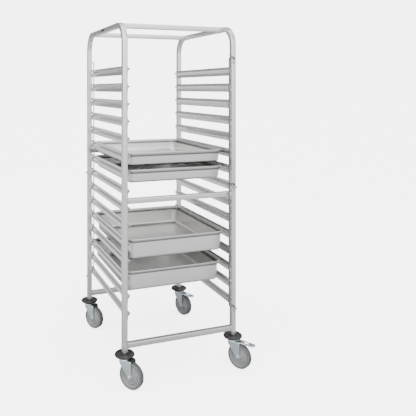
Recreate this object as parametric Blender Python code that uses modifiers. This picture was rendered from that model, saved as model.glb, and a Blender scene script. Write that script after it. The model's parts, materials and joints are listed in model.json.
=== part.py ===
"""A mobile sheet pan rack: two bent-tube side frames, runner strips, stop bars, pans and swivel casters.

Metres, +Z up, front towards -Y.  The floor is z = 0 and the origin is the middle of the whole
rack's footprint.  Every piece is one named object in the collection "sheet_pan_rack".
"""

import math

import bmesh
import bpy
from mathutils import Matrix, Vector

# ---- clearances -----------------------------------------------------------------------------
GAP = 0.0003  # between faces that touch on the real rack
RUNNING = 0.0003  # radial clearance of a pin in its hole
FACET = 0.0004  # what a faceted hole's flats take from its radius
WELD = 0.00002  # vertices closer than this are one

# ---- side frames ----------------------------------------------------------------------------
RACK_WIDTH = 0.595  # over the outer faces of the posts
RACK_DEPTH = 0.720
RACK_HEIGHT = 1.7135
TUBE = 0.025  # square tube, outside
TUBE_WALL = 0.0015
BEND_RADIUS = 0.090  # of the tube's centre line
BEND_STEPS = 6
BEND_TAIL = 0.030  # straight tube after the bend
SPIGOT_LENGTH = 0.030  # how far a rail's spigot goes into a post
JOIN = 0.0003  # overlap of welded faces
BOTTOM_BAR_RISE = 0.029  # bar centre above the foot of the posts
TOP_BAR_INSET = 0.0145  # bar centre beyond the end of the bend
FRONT_MID_LEVEL = 8  # the front bar runs under this level, counted from the top
REAR_MID_LEVEL = 6  # no lower than the front one's

# ---- runners --------------------------------------------------------------------------------
LEVELS = 15
PITCH = 0.082
TOP_SPACE = 0.237  # from the rack's top down to the lower fold of the highest runner
SHEET = 0.0012
LEDGE_REACH = 0.013  # how far the ridge stands in from the posts
LEDGE_RISE = 0.015  # ledge above the lower fold
WEB_BELOW = 0.017
WEB_ABOVE = 0.012
RUNNER_SETBACK = 0.002  # runner end behind the post's face

# ---- stop bars ------------------------------------------------------------------------------
WIRE = 0.006
WIRE_BEND = 0.011
STOP_ABOVE = 0.075  # top of the bar above the highest runner's fold
STOP_BELOW = 0.020  # bottom of the bar below the lowest runner's fold
STOP_MIDDLE_RISE = 0.017  # middle hinge above the fold that the front bar runs under
STOP_REACH = 0.0325  # wire from its hinge line, inwards
STOP_HINGE_INSET = 0.001  # hinge line outside the post's middle
STOP_STAND_OFF = 0.009  # hinge line in front of the post's face
PIN_DROP = 0.030
EYE_HEIGHT = 0.012
EYE_DROP = 0.014  # eye's top below the wire that it holds
EYE_WALL = 0.0025
EYE_PLATE = 0.0025
EYE_NECK = 0.004
EYE_TAB_REACH = (-0.003, 0.006, 0.004)  # tab beyond the post's outer face: top, middle, bottom

# ---- pans -----------------------------------------------------------------------------------
PAN_SIDE_SPACE = 0.0075  # between a rim and the posts
PAN_END_SPACE = 0.035  # rim's end inside the posts' faces, for a centred pan
PAN_RIM = 0.011
PAN_LIP = 0.004
PAN_CORNER = 0.050
PAN_SHEET = 0.0012
PAN_WALL = (  # inset from the rim's inner edge, height above the floor; the first is below the rim
    (0.0015, -0.003),
    (0.0055, 0.016),
    (0.0095, 0.006),
    (0.0200, 0.0012),
)
SHALLOW = 0.065
DEEP = 0.100
PANS = (  # name, level from the top, depth, how far it stands towards the back
    ("pan_upper", 6, SHALLOW, 0.018),
    ("pan_second", 7, SHALLOW, 0.017),
    ("pan_third", 11, DEEP, -0.003),
    ("pan_lower", 13, DEEP, 0.036),
)

# ---- casters --------------------------------------------------------------------------------
WHEEL_RADIUS = 0.0625
TREAD_WIDTH = 0.030
HUB_RADIUS = 0.048
HUB_HALF = 0.013  # half the width of the hub's rim
HUB_WEB = 0.004  # half the thickness of its web
HUB_RIM = 0.006
HUB_BOSS = 0.013
TYRE_CLEARANCE = 0.0013  # the hub's facets stay inside the tyre
TRAIL = 0.040
AXLE_RADIUS = 0.004
FORK_SHEET = 0.003
FORK_INSIDE = 0.038
CROWN_CLEARANCE = 0.006  # between the tyre and the crown
RACE_HEIGHT = 0.005
CUP_RADIUS = 0.028
CUP_HEIGHT = 0.0047
PIVOT_RADIUS = 0.008
BUMPER_RADIUS = 0.0475
BUMPER_HEIGHT = 0.0145
COLLAR_HEIGHT = 0.0044
PLUG_HEIGHT = 0.014  # stem inside the post
CROWN_BACK = -0.026  # fork edges from the swivel axis, the wheel trailing towards +
CROWN_FRONT = 0.030
LEG_BACK = -0.016
LEG_FRONT = 0.050
LEG_SHOULDER = 0.016  # height of the leg's upright back edge under the crown's top
LEG_END_RADIUS = 0.0115
RACE_STEP = 0.002  # lower race inside the cup's edge
RACE_CHAMFER = 0.001
RIVET_FLANGE = 0.005
RIVET_HEIGHT = 0.004
AXLE_HEAD = 0.003  # beyond the axle's radius
AXLE_HEAD_HEIGHT = 0.005
AXLE_NUT_HEIGHT = 0.006
TREAD_SHOULDER = 0.004
TREAD_SHOULDER_WIDTH = 0.006
TYRE_BEAD = 0.001  # tyre's inner edge in from its side
PEDAL_START = 0.033  # plate's back edge from the swivel axis
PEDAL_LENGTH = 0.125  # its tip
PEDAL_SHEET = 0.0025
PEDAL_PIN_RADIUS = 0.0025
PEDAL_PIN_X = 0.043
PEDAL_PIN_DROP = 0.0005  # pin under the underside of the crown
PEDAL_SIDE_SPACE = 0.0018  # between the pedal and the fork's legs
PEDAL_SLOT = (0.030, 0.044)  # centres of the slot's round ends, from the pin
CHEEK_DROP = 0.0045  # cheeks below the pin
CHEEK_BACK_DROP = 0.003
CHEEK_FRONT = 0.015
CHEEK_TOP_FRONT = 0.022
SHOE_SIZE = (0.010, 0.012)
SHOE_DROP = 0.001  # shoe below the pin
GUARD_BACK = 0.031  # guard's back edge from the swivel axis
GUARD_RISE = 0.005  # its top above the crown
GUARD_TYRE_SPACE = 0.0015
GUARD_EDGE = 0.003
WHEEL_STEPS = 24  # a multiple of four, so that a flat meets the floor
HUB_STEPS = 16
RING_STEPS = 12
CASTERS = (  # name, side, end, heading of the trailing wheel in degrees, brake
    ("front_left", -1, -1, -52.5, False),
    ("front_right", 1, -1, -60.0, True),
    ("rear_left", -1, 1, -58.0, False),
    ("rear_right", 1, 1, -70.0, True),
)

# ---- bolts ----------------------------------------------------------------------------------
BOLT_RADIUS = 0.003
BOLT_HEAD_RADIUS = 0.0065
BOLT_HEAD_HEIGHT = 0.004
BAR_END_THICKNESS = 0.006
ROUND_STEPS = 8

# ---- sizes that follow ----------------------------------------------------------------------
AXLE_Z = WHEEL_RADIUS * math.cos(math.pi / WHEEL_STEPS)  # the tyre rests on one flat of its tread
FORK_HALF = FORK_INSIDE / 2
CROWN_Z = AXLE_Z + WHEEL_RADIUS + CROWN_CLEARANCE
CROWN_TOP = CROWN_Z + FORK_SHEET
PEDAL_PIN_Z = CROWN_Z - PEDAL_PIN_DROP
CUP_Z = CROWN_TOP + RACE_HEIGHT + GAP
BUMPER_Z = CUP_Z + CUP_HEIGHT + GAP
COLLAR_Z = BUMPER_Z + BUMPER_HEIGHT + GAP
POST_FOOT = COLLAR_Z + COLLAR_HEIGHT + GAP

HALF_WIDTH = (RACK_WIDTH - TUBE) / 2  # post centre
HALF_DEPTH = (RACK_DEPTH - TUBE) / 2
RAIL_Z = RACK_HEIGHT - TUBE / 2
BEND_Y = HALF_DEPTH - BEND_RADIUS
BEND_Z = RAIL_Z - BEND_RADIUS
RAIL_END = BEND_Y - BEND_TAIL
INNER_FACE = HALF_WIDTH - TUBE / 2
OUTER_FACE = HALF_WIDTH + TUBE / 2
FRONT_FACE = HALF_DEPTH + TUBE / 2
BORE = TUBE - 2 * TUBE_WALL
SPIGOT = BORE - 2 * GAP
BOTTOM_BAR_Z = POST_FOOT + BOTTOM_BAR_RISE
TOP_BAR_Y = BEND_Y - TOP_BAR_INSET
HOLE_RADIUS = BOLT_RADIUS + RUNNING + FACET

TOP_FOLD = RACK_HEIGHT - TOP_SPACE
PAN_WIDTH = 2 * (INNER_FACE - PAN_SIDE_SPACE)
PAN_LENGTH = 2 * (FRONT_FACE - PAN_END_SPACE)


def fold_height(level):
    """Height of a runner's lower fold, level 1 being the highest."""
    return TOP_FOLD - PITCH * (level - 1)


def gap_middle(level):
    """Height midway between the runner of this level and the one below it."""
    above = fold_height(level) - WEB_BELOW
    below = fold_height(level + 1) + LEDGE_RISE + WEB_ABOVE
    return (above + below) / 2


FRONT_MID_Z = gap_middle(FRONT_MID_LEVEL)
REAR_MID_Z = gap_middle(REAR_MID_LEVEL)
STOP_TOP = TOP_FOLD + STOP_ABOVE
STOP_MIDDLE = fold_height(FRONT_MID_LEVEL) + STOP_MIDDLE_RISE
STOP_BOTTOM = fold_height(LEVELS) - STOP_BELOW
HINGE_X = HALF_WIDTH + STOP_HINGE_INSET
HINGE_Y = FRONT_FACE + STOP_STAND_OFF

# colour, metallic, roughness
FINISHES = {
    "stainless": ((0.62, 0.62, 0.63), 1.0, 0.34),
    "runner_steel": ((0.70, 0.70, 0.71), 1.0, 0.30),
    "pan_steel": ((0.66, 0.65, 0.63), 1.0, 0.26),
    "zinc": ((0.66, 0.71, 0.73), 1.0, 0.28),
    "rubber": ((0.16, 0.165, 0.17), 0.0, 0.70),
    "hub_plastic": ((0.42, 0.43, 0.43), 0.0, 0.50),
    "black_plastic": ((0.035, 0.035, 0.037), 0.0, 0.50),
}


# ---- scene ----------------------------------------------------------------------------------
for old in list(bpy.data.objects):
    bpy.data.objects.remove(old, do_unlink=True)

PARTS = bpy.data.collections.new("sheet_pan_rack")
CUTTERS = bpy.data.collections.new("cutters")
bpy.context.scene.collection.children.link(PARTS)
bpy.context.scene.collection.children.link(CUTTERS)


def new_empty(name, location, parent=None, turn=0.0):
    """An empty that pieces are hung on, turned about Z."""
    empty = bpy.data.objects.new(name, None)
    empty.empty_display_size = 0.03
    empty.location = location
    empty.rotation_euler = (0, 0, turn)
    empty.parent = parent
    PARTS.objects.link(empty)
    return empty


RACK = new_empty("rack_frame", (0, 0, 0))


def material_for(name, finish):
    """A plain material of the named finish for one piece."""
    colour, metallic, roughness = FINISHES[finish]
    made = bpy.data.materials.new(f"{name}_{finish}")
    made.use_nodes = True
    shader = made.node_tree.nodes["Principled BSDF"]
    shader.inputs["Base Color"].default_value = (*colour, 1)
    shader.inputs["Metallic"].default_value = metallic
    shader.inputs["Roughness"].default_value = roughness
    made.diffuse_color = (*colour, 1)
    return made


def place(name, mesh, finish, location=(0, 0, 0), rotation=(0, 0, 0), parent=RACK):
    """One named piece with its own material, hung on its parent."""
    data = mesh.copy()
    data.name = name
    piece = bpy.data.objects.new(name, data)
    piece.location = location
    piece.rotation_euler = rotation
    piece.parent = parent
    data.materials.clear()
    data.materials.append(material_for(name, finish))
    PARTS.objects.link(piece)
    return piece


# ---- meshes ---------------------------------------------------------------------------------
def mesh_from(bm, name="shape"):
    """A bmesh as mesh data."""
    mesh = bpy.data.meshes.new(name)
    bm.to_mesh(mesh)
    bm.free()
    return mesh


def joined(meshes, name="group"):
    """Several separate bodies in one mesh."""
    bm = bmesh.new()
    for mesh in meshes:
        bm.from_mesh(mesh)
    return mesh_from(bm, name)


def moved(mesh, location=(0, 0, 0), rotation=None):
    """A copy of a mesh, turned and then moved."""
    copy = mesh.copy()
    turn = rotation.to_4x4() if rotation else Matrix.Identity(4)
    copy.transform(Matrix.Translation(location) @ turn)
    return copy


def settled(piece):
    """The mesh that an object's modifiers or curve make, with loose caps welded; the object goes."""
    bpy.context.view_layer.update()
    graph = bpy.context.evaluated_depsgraph_get()
    mesh = bpy.data.meshes.new_from_object(piece.evaluated_get(graph), depsgraph=graph)
    bpy.data.objects.remove(piece, do_unlink=True)
    bm = bmesh.new()
    bm.from_mesh(mesh)
    bmesh.ops.remove_doubles(bm, verts=bm.verts, dist=WELD)
    bm.to_mesh(mesh)
    bm.free()
    return mesh


def working(mesh, name="working"):
    """A temporary object around a mesh, for its modifiers."""
    piece = bpy.data.objects.new(name, mesh)
    CUTTERS.objects.link(piece)
    return piece


def cut_or_joined(base, other, operation):
    """Two closed meshes after a Boolean."""
    tool = working(other, "tool")
    piece = working(base)
    step = piece.modifiers.new("boolean", "BOOLEAN")
    step.operation = operation
    step.solver = "EXACT"
    step.object = tool
    result = settled(piece)
    bpy.data.objects.remove(tool, do_unlink=True)
    return result


def united(first, *others):
    """One body from overlapping closed meshes."""
    for other in others:
        first = cut_or_joined(first, other, "UNION")
    return first


def box(size, centre=(0, 0, 0)):
    """A closed box."""
    bm = bmesh.new()
    scale = Matrix.Diagonal((*size, 1))
    bmesh.ops.create_cube(bm, size=1, matrix=Matrix.Translation(centre) @ scale)
    return mesh_from(bm)


def cylinder(radius, low, high, steps=ROUND_STEPS):
    """A closed cylinder along Z."""
    bm = bmesh.new()
    centre = Matrix.Translation((0, 0, (low + high) / 2))
    bmesh.ops.create_cone(
        bm,
        cap_ends=True,
        segments=steps,
        radius1=radius,
        radius2=radius,
        depth=high - low,
        matrix=centre,
    )
    return mesh_from(bm)


def turned(profile, steps, loop=False):
    """A profile of (radius, z) points turned about Z; it runs down its outer side."""
    mesh = bpy.data.meshes.new("profile")
    count = len(profile)
    edges = [(i, i + 1) for i in range(count - 1)] + ([(count - 1, 0)] if loop else [])
    mesh.from_pydata([(radius, 0, z) for radius, z in profile], edges, [])
    piece = working(mesh)
    step = piece.modifiers.new("turn", "SCREW")
    step.steps = steps
    step.render_steps = steps
    step.use_merge_vertices = True
    step.merge_threshold = WELD
    step.use_smooth_shade = False
    return settled(piece)


def flat_plate(outlines, thickness):
    """A plate from closed 2D outlines, the later ones being holes, about z = 0."""
    curve = bpy.data.curves.new("plate", "CURVE")
    curve.dimensions = "2D"
    curve.fill_mode = "BOTH"
    curve.extrude = thickness / 2
    for outline in outlines:
        spline = curve.splines.new("POLY")
        spline.points.add(len(outline) - 1)
        for point, (x, y) in zip(spline.points, outline):
            point.co = (x, y, 0, 1)
        spline.use_cyclic_u = True
    return settled(working(curve))


def round_wire(points, diameter):
    """A closed round wire along a path."""
    curve = bpy.data.curves.new("wire", "CURVE")
    curve.dimensions = "3D"
    curve.bevel_depth = diameter / 2
    curve.bevel_resolution = 2
    curve.use_fill_caps = True
    spline = curve.splines.new("POLY")
    spline.points.add(len(points) - 1)
    for point, place_at in zip(spline.points, points):
        point.co = (*place_at, 1)
    return settled(working(curve))


def walled(mesh, thickness, offset=-1.0):
    """An open surface given a wall on the side away from its normals."""
    piece = working(mesh)
    step = piece.modifiers.new("wall", "SOLIDIFY")
    step.thickness = thickness
    step.offset = offset
    step.use_even_offset = True
    return settled(piece)


def circle_points(centre, radius, start, end, steps):
    """Points on an arc, angles in degrees."""
    angles = [math.radians(start + (end - start) * i / steps) for i in range(steps + 1)]
    return [(centre[0] + radius * math.cos(a), centre[1] + radius * math.sin(a)) for a in angles]


def hole_outline(centre, radius, steps=ROUND_STEPS):
    """A closed circle for a hole in a plate."""
    return circle_points(centre, radius, 0, 360 * (steps - 1) / steps, steps - 1)


def rounded_path(corners, radius, steps=3):
    """A path whose corners are replaced by arcs."""
    path = [Vector(corners[0])]
    for before, corner, after in zip(corners, corners[1:], corners[2:]):
        corner = Vector(corner)
        come = (Vector(before) - corner).normalized()
        leave = (Vector(after) - corner).normalized()
        half = come.angle(leave) / 2
        centre = corner + (come + leave).normalized() * radius / math.sin(half)
        start = corner + come * radius / math.tan(half) - centre
        end = corner + leave * radius / math.tan(half) - centre
        path += [centre + start.slerp(end, i / steps) * radius for i in range(steps + 1)]
    path.append(Vector(corners[-1]))
    return path


# ---- square tube ----------------------------------------------------------------------------
def square_ring(bm, size):
    """Four edges of a square about the Z axis at z = 0."""
    half = size / 2
    corners = [(half, half, 0), (-half, half, 0), (-half, -half, 0), (half, -half, 0)]
    verts = [bm.verts.new(corner) for corner in corners]
    return [bm.edges.new((verts[i], verts[(i + 1) % 4])) for i in range(4)]


def extruded_ring(bm, edges, step):
    """The ring carried along by a vector."""
    made = bmesh.ops.extrude_edge_only(bm, edges=edges)["geom"]
    bmesh.ops.translate(bm, vec=step, verts=[v for v in made if isinstance(v, bmesh.types.BMVert)])
    return [e for e in made if isinstance(e, bmesh.types.BMEdge)]


def straight_tube(length, size=TUBE):
    """A hollow square tube along Z, centred on the origin."""
    bm = bmesh.new()
    extruded_ring(bm, square_ring(bm, size), (0, 0, length))
    bmesh.ops.translate(bm, vec=(0, 0, -length / 2), verts=bm.verts)
    bmesh.ops.recalc_face_normals(bm, faces=bm.faces)
    return walled(mesh_from(bm), TUBE_WALL)


def bent_tube():
    """A post from its foot at the origin up +Z, round the bend and on along +Y."""
    bm = bmesh.new()
    straight = BEND_Z - POST_FOOT
    ring = extruded_ring(bm, square_ring(bm, TUBE), (0, 0, straight))
    verts = list({v for e in ring for v in e.verts})
    spun = bmesh.ops.spin(
        bm,
        geom=verts + ring,
        cent=(0, BEND_RADIUS, straight),
        axis=(1, 0, 0),
        angle=-math.pi / 2,
        steps=BEND_STEPS,
    )["geom_last"]
    last = [e for e in spun if isinstance(e, bmesh.types.BMEdge)]
    extruded_ring(bm, last, (0, BEND_TAIL - GAP / 2, 0))
    bmesh.ops.recalc_face_normals(bm, faces=bm.faces)
    return walled(mesh_from(bm), TUBE_WALL)


ALONG_X = Matrix.Rotation(math.pi / 2, 3, "Y")
ALONG_Y = Matrix.Rotation(-math.pi / 2, 3, "X")
UPRIGHT = Matrix.Rotation(math.pi / 2, 3, "X")


# ---- frame ----------------------------------------------------------------------------------
BARS = (  # name, y, z, bolted to the posts
    ("front_top_bar", -TOP_BAR_Y, RAIL_Z, False),
    ("rear_top_bar", TOP_BAR_Y, RAIL_Z, False),
    ("front_middle_bar", -HALF_DEPTH, FRONT_MID_Z, True),
    ("rear_middle_bar", HALF_DEPTH, REAR_MID_Z, True),
    ("front_bottom_bar", -HALF_DEPTH, BOTTOM_BAR_Z, True),
    ("rear_bottom_bar", HALF_DEPTH, BOTTOM_BAR_Z, True),
)


def bolt_places():
    """Each bolt's name, side and place on the outer face of its post."""
    found = []
    for bar, y, z, bolted in BARS:
        for word, side in (("left", -1), ("right", 1)):
            if bolted:
                found.append((f"{bar}_{word}_bolt", side, (side * OUTER_FACE, y, z)))
    return found


def frame_holes():
    """One cutter for every bolt hole in the posts."""
    depth = TUBE + 2 * TUBE_WALL
    drill = cylinder(HOLE_RADIUS, -depth, 2 * TUBE_WALL)
    drills = []
    for _, side, spot in bolt_places():
        drills.append(moved(drill, spot, Matrix.Rotation(side * math.pi / 2, 3, "Y")))
    cutter = bpy.data.objects.new("bolt_holes", joined(drills))
    cutter.hide_render = True
    cutter.display_type = "WIRE"
    cutter.parent = RACK
    CUTTERS.objects.link(cutter)
    return cutter


def side_frames():
    """Bent posts and the rails between them; two posts carry the eyes of a stop bar."""
    holes = frame_holes()
    plain = bent_tube()
    with_eyes = united(plain.copy(), *stop_bar_eyes())
    for name, side, end, _, _ in CASTERS:
        turn = 0 if end < 0 else math.pi
        foot = (side * HALF_WIDTH, end * HALF_DEPTH, POST_FOOT)
        mesh = with_eyes if side * end < 0 else plain
        post = place(f"{name}_post", mesh, "stainless", foot, (0, 0, turn))
        step = post.modifiers.new("bolt holes", "BOOLEAN")
        step.operation = "DIFFERENCE"
        step.solver = "EXACT"
        step.object = holes
    rail = straight_tube(2 * RAIL_END - GAP)
    for end in (-1, 1):
        spigot = straight_tube(2 * SPIGOT_LENGTH, SPIGOT)
        rail = united(rail, moved(spigot, (0, 0, end * RAIL_END)))
        ring = straight_tube(SPIGOT_LENGTH / 3, BORE + 2 * JOIN)
        rail = united(rail, moved(ring, (0, 0, end * (RAIL_END - SPIGOT_LENGTH / 2))))
    rail = moved(rail, rotation=ALONG_Y)
    for name, side in (("left", -1), ("right", 1)):
        place(f"{name}_top_rail", rail, "stainless", (side * HALF_WIDTH, 0, RAIL_Z))


def cross_bars():
    """Six square bars between the side frames; the bolted ones have drilled ends."""
    half_length = INNER_FACE - GAP
    plain = straight_tube(2 * half_length)
    half = BORE / 2 + JOIN
    square = [(-half, -half), (half, -half), (half, half), (-half, half)]
    end_plate = flat_plate([square, hole_outline((0, 0), HOLE_RADIUS)], BAR_END_THICKNESS)
    set_in = half_length - BAR_END_THICKNESS / 2 - TUBE_WALL
    ends = [moved(end_plate, (0, 0, side * set_in)) for side in (-1, 1)]
    drilled = united(plain.copy(), *ends)
    for name, y, z, bolted in BARS:
        bar = moved(drilled if bolted else plain, rotation=ALONG_X)
        place(name, bar, "stainless", (0, y, z))


def bolts():
    """Dome-headed bolts through the posts into the bars' ends."""
    dome = circle_points((0, 0), 1, 90, 0, 3)
    head = [(x * BOLT_HEAD_RADIUS, GAP + z * BOLT_HEAD_HEIGHT) for x, z in dome]
    length = TUBE + 2 * TUBE_WALL + BAR_END_THICKNESS
    shank = [(BOLT_RADIUS, GAP), (BOLT_RADIUS, -length), (0, -length)]
    mesh = turned([(0, GAP + BOLT_HEAD_HEIGHT)] + head[1:] + shank, ROUND_STEPS)
    for name, side, spot in bolt_places():
        place(name, mesh, "zinc", spot, (0, side * math.pi / 2, 0))


def runners():
    """Folded strips on the posts' inner faces, each with a ridge whose flat top is the ledge.

    A ladder is the strips of a few levels with the two flats that join them along the posts.
    The ladders end where a cross bar meets the posts.
    """
    ladders = (
        ("upper", 1, REAR_MID_LEVEL),
        ("middle", REAR_MID_LEVEL + 1, FRONT_MID_LEVEL),
        ("lower", FRONT_MID_LEVEL + 1, LEVELS),
    )
    middle = SHEET / 2
    section = [
        (middle, -WEB_BELOW),
        (middle, 0),
        (LEDGE_REACH - middle, LEDGE_RISE - middle),
        (middle, LEDGE_RISE - middle),
        (middle, LEDGE_RISE + WEB_ABOVE),
    ]
    length = 2 * (FRONT_FACE - RUNNER_SETBACK)
    flat_width = TUBE - 2 * RUNNER_SETBACK
    for part_name, first, last in ladders:
        for word, side in (("left", -1), ("right", 1)):
            face = side * (INNER_FACE - GAP)
            strips = []
            for level in range(first, last + 1):
                bm = bmesh.new()
                z = fold_height(level)
                verts = [bm.verts.new((face - side * u, -length / 2, z + v)) for u, v in section]
                edges = [bm.edges.new(pair) for pair in zip(verts, verts[1:])]
                extruded_ring(bm, edges, (0, length, 0))
                strips.append(walled(mesh_from(bm), SHEET, 0.0))
            low = fold_height(last) - WEB_BELOW + SHEET
            high = fold_height(first) + LEDGE_RISE + WEB_ABOVE - SHEET
            size = (SHEET * 0.8, flat_width, high - low)
            for end in (-1, 1):
                spot = (face - side * middle, end * HALF_DEPTH, (low + high) / 2)
                strips.append(box(size, spot))
            place(f"{word}_{part_name}_runners", united(*strips), "runner_steel")


# ---- stop bars ------------------------------------------------------------------------------
def stop_bar():
    """The swinging wire, its hinge line on Z and its long leg towards -X, with three hinge pins."""
    top = rounded_path(
        [
            (0, 0, STOP_TOP - PIN_DROP),
            (0, 0, STOP_TOP),
            (-STOP_REACH, 0, STOP_TOP),
            (-STOP_REACH, 0, STOP_BOTTOM),
            (0, 0, STOP_BOTTOM),
            (0, 0, STOP_BOTTOM - PIN_DROP),
        ],
        WIRE_BEND,
    )
    branch = rounded_path(
        [
            (-STOP_REACH, 0, STOP_MIDDLE),
            (0, 0, STOP_MIDDLE),
            (0, 0, STOP_MIDDLE - PIN_DROP),
        ],
        WIRE_BEND,
    )
    return united(round_wire(top, WIRE), round_wire(branch, WIRE * 0.98))


def eye(outward_reach):
    """A hinge eye for a pin on Z, its top at z = 0, with a flat tab welded to the post behind it."""
    inside = WIRE / 2 + RUNNING + FACET
    outside = inside + EYE_WALL
    ring = [(outside, 0), (outside, -EYE_HEIGHT), (inside, -EYE_HEIGHT), (inside, 0)]
    knuckle = turned(ring, ROUND_STEPS, loop=True)
    back = STOP_STAND_OFF + JOIN
    tab_middle = back - EYE_PLATE / 2
    tab = box(
        (outward_reach + outside, EYE_PLATE, EYE_HEIGHT),
        ((outward_reach - outside) / 2, tab_middle, -EYE_HEIGHT / 2),
    )
    neck_start = (inside + outside) / 2
    neck = box(
        (EYE_NECK, tab_middle - neck_start, EYE_HEIGHT - 2 * JOIN),
        (0, (tab_middle + neck_start) / 2, -EYE_HEIGHT / 2),
    )
    return united(knuckle, neck, tab)


def stop_bar_eyes():
    """The three eyes of a stop bar, in the frame of the bent tube that carries them."""
    edge = TUBE / 2 - STOP_HINGE_INSET
    eyes = []
    for height, reach in zip((STOP_TOP, STOP_MIDDLE, STOP_BOTTOM), EYE_TAB_REACH):
        spot = (STOP_HINGE_INSET, HALF_DEPTH - HINGE_Y, height - EYE_DROP - POST_FOOT)
        eyes.append(moved(eye(edge + reach), spot))
    return eyes


def stop_bars():
    """Two swinging bars that keep the pans in, at the front right and the rear left."""
    wire = stop_bar()
    for name, side in (("front", 1), ("rear", -1)):
        turn = 0 if side > 0 else math.pi
        hinge = new_empty(f"{name}_stop_hinge", (side * HINGE_X, -side * HINGE_Y, 0), RACK, turn)
        place(f"{name}_stop_bar", wire, "stainless", parent=hinge)


# ---- pans -----------------------------------------------------------------------------------
def rounded_rectangle(bm, half_x, half_y, radius, z, steps=3):
    """A ring of vertices round a rectangle with rounded corners."""
    ring = []
    for i, (sx, sy) in enumerate(((1, 1), (-1, 1), (-1, -1), (1, -1))):
        centre = (sx * (half_x - radius), sy * (half_y - radius))
        for x, y in circle_points(centre, radius, 90 * i, 90 * i + 90, steps):
            ring.append(bm.verts.new((x, y, z)))
    return ring


def pan(depth):
    """A pan whose rim top is at z = 0, as the inner skin given a wall on its outside."""
    rows = [(0, -PAN_LIP), (0, 0), (PAN_RIM, 0)]  # inset from the rim's edge, height
    for inset, height in PAN_WALL:
        rows.append((PAN_RIM + inset, height if height < 0 else height - depth))
    bm = bmesh.new()
    rings = []
    for inset, z in rows:
        half_x = PAN_WIDTH / 2 - inset
        half_y = PAN_LENGTH / 2 - inset
        rings.append(rounded_rectangle(bm, half_x, half_y, PAN_CORNER - inset, z))
    for upper, lower in zip(rings, rings[1:]):
        bmesh.ops.bridge_loops(bm, edges=ring_edges(bm, upper) + ring_edges(bm, lower))
    bm.faces.new(rings[-1])
    bmesh.ops.recalc_face_normals(bm, faces=bm.faces)
    floor = max(bm.faces, key=lambda face: face.calc_area())
    if floor.normal.z < 0:
        bmesh.ops.reverse_faces(bm, faces=bm.faces)
    return walled(mesh_from(bm), PAN_SHEET)


def ring_edges(bm, ring):
    """The closed loop of edges through a ring's vertices."""
    pairs = list(zip(ring, ring[1:] + ring[:1]))
    return [bm.edges.get(pair) or bm.edges.new(pair) for pair in pairs]


def pans():
    """Four pans, their rims on the ledges."""
    for name, level, depth, back in PANS:
        rim = fold_height(level) + LEDGE_RISE + GAP + PAN_LIP
        place(name, pan(depth), "pan_steel", (0, back, rim))


# ---- casters --------------------------------------------------------------------------------
def stem():
    """The fixed half of the swivel: plug in the post, collar, upper race and riveted pivot."""
    collar = TUBE / 2
    top = POST_FOOT - GAP
    rivet = PIVOT_RADIUS + RIVET_FLANGE
    plug = SPIGOT / 2
    profile = [
        (0, POST_FOOT + PLUG_HEIGHT),
        (plug, POST_FOOT + PLUG_HEIGHT),
        (plug, top),
        (collar, top),
        (collar, COLLAR_Z),
        (PIVOT_RADIUS, COLLAR_Z),
        (PIVOT_RADIUS, CUP_Z + CUP_HEIGHT),
        (CUP_RADIUS, CUP_Z + CUP_HEIGHT),
        (CUP_RADIUS, CUP_Z),
        (PIVOT_RADIUS, CUP_Z),
        (PIVOT_RADIUS, CROWN_Z - GAP),
        (rivet, CROWN_Z - GAP),
        (rivet, CROWN_Z - RIVET_HEIGHT),
        (0, CROWN_Z - RIVET_HEIGHT),
    ]
    return turned(profile, RING_STEPS)


def bumper():
    """A soft round-edged disc around the stem."""
    edge = BUMPER_HEIGHT / 2
    middle = BUMPER_Z + edge
    rim = circle_points((BUMPER_RADIUS - edge, middle), edge, 90, -90, 4)
    inside = PIVOT_RADIUS + RUNNING + FACET
    bore = [(inside, BUMPER_Z), (inside, BUMPER_Z + BUMPER_HEIGHT)]
    return turned(rim + bore, HUB_STEPS, loop=True)


def lower_race():
    """The ring on the fork's crown that runs under the upper race."""
    inside = PIVOT_RADIUS + RUNNING + FACET
    outside = CUP_RADIUS - RACE_STEP
    top = CROWN_TOP + RACE_HEIGHT
    bottom = CROWN_TOP - FORK_SHEET / 2
    ring = [(outside, top - RACE_CHAMFER), (outside, bottom), (inside, bottom), (inside, top)]
    return turned(ring + [(outside - RACE_CHAMFER, top)], RING_STEPS, loop=True)


def fork(brake):
    """A pressed fork: crown, race and two tapering legs; a braked one has the pedal's pin."""
    end = circle_points((TRAIL, AXLE_Z), LEG_END_RADIUS, 8, -172, 6)
    leg = [(LEG_BACK, CROWN_TOP), (LEG_FRONT, CROWN_TOP)] + end
    leg += [(LEG_BACK, CROWN_TOP - LEG_SHOULDER)]
    axle_hole = hole_outline((TRAIL, AXLE_Z), AXLE_RADIUS + RUNNING + FACET)
    plate = flat_plate([leg, axle_hole], FORK_SHEET)
    offset = FORK_HALF + FORK_SHEET / 2
    pieces = [moved(plate, (0, side * offset, 0), UPRIGHT) for side in (-1, 1)]
    if brake:
        reach = FORK_HALF + FORK_SHEET * 1.5
        pin = cylinder(PEDAL_PIN_RADIUS, -reach, reach)
        pieces.append(moved(pin, (PEDAL_PIN_X, 0, PEDAL_PIN_Z), ALONG_Y))
    half = FORK_HALF + FORK_SHEET * 0.8
    rim = [(CROWN_BACK, -half * 0.6), (LEG_BACK, -half), (CROWN_FRONT, -half)]
    rim += [(x, -y) for x, y in reversed(rim)]
    pivot_hole = hole_outline((0, 0), PIVOT_RADIUS + 2 * RUNNING + FACET, RING_STEPS)
    thickness = FORK_SHEET - JOIN
    crown = flat_plate([rim, pivot_hole], thickness)
    crown = moved(crown, (0, 0, CROWN_TOP - JOIN - thickness / 2))
    return united(crown, lower_race(), *pieces)


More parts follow.
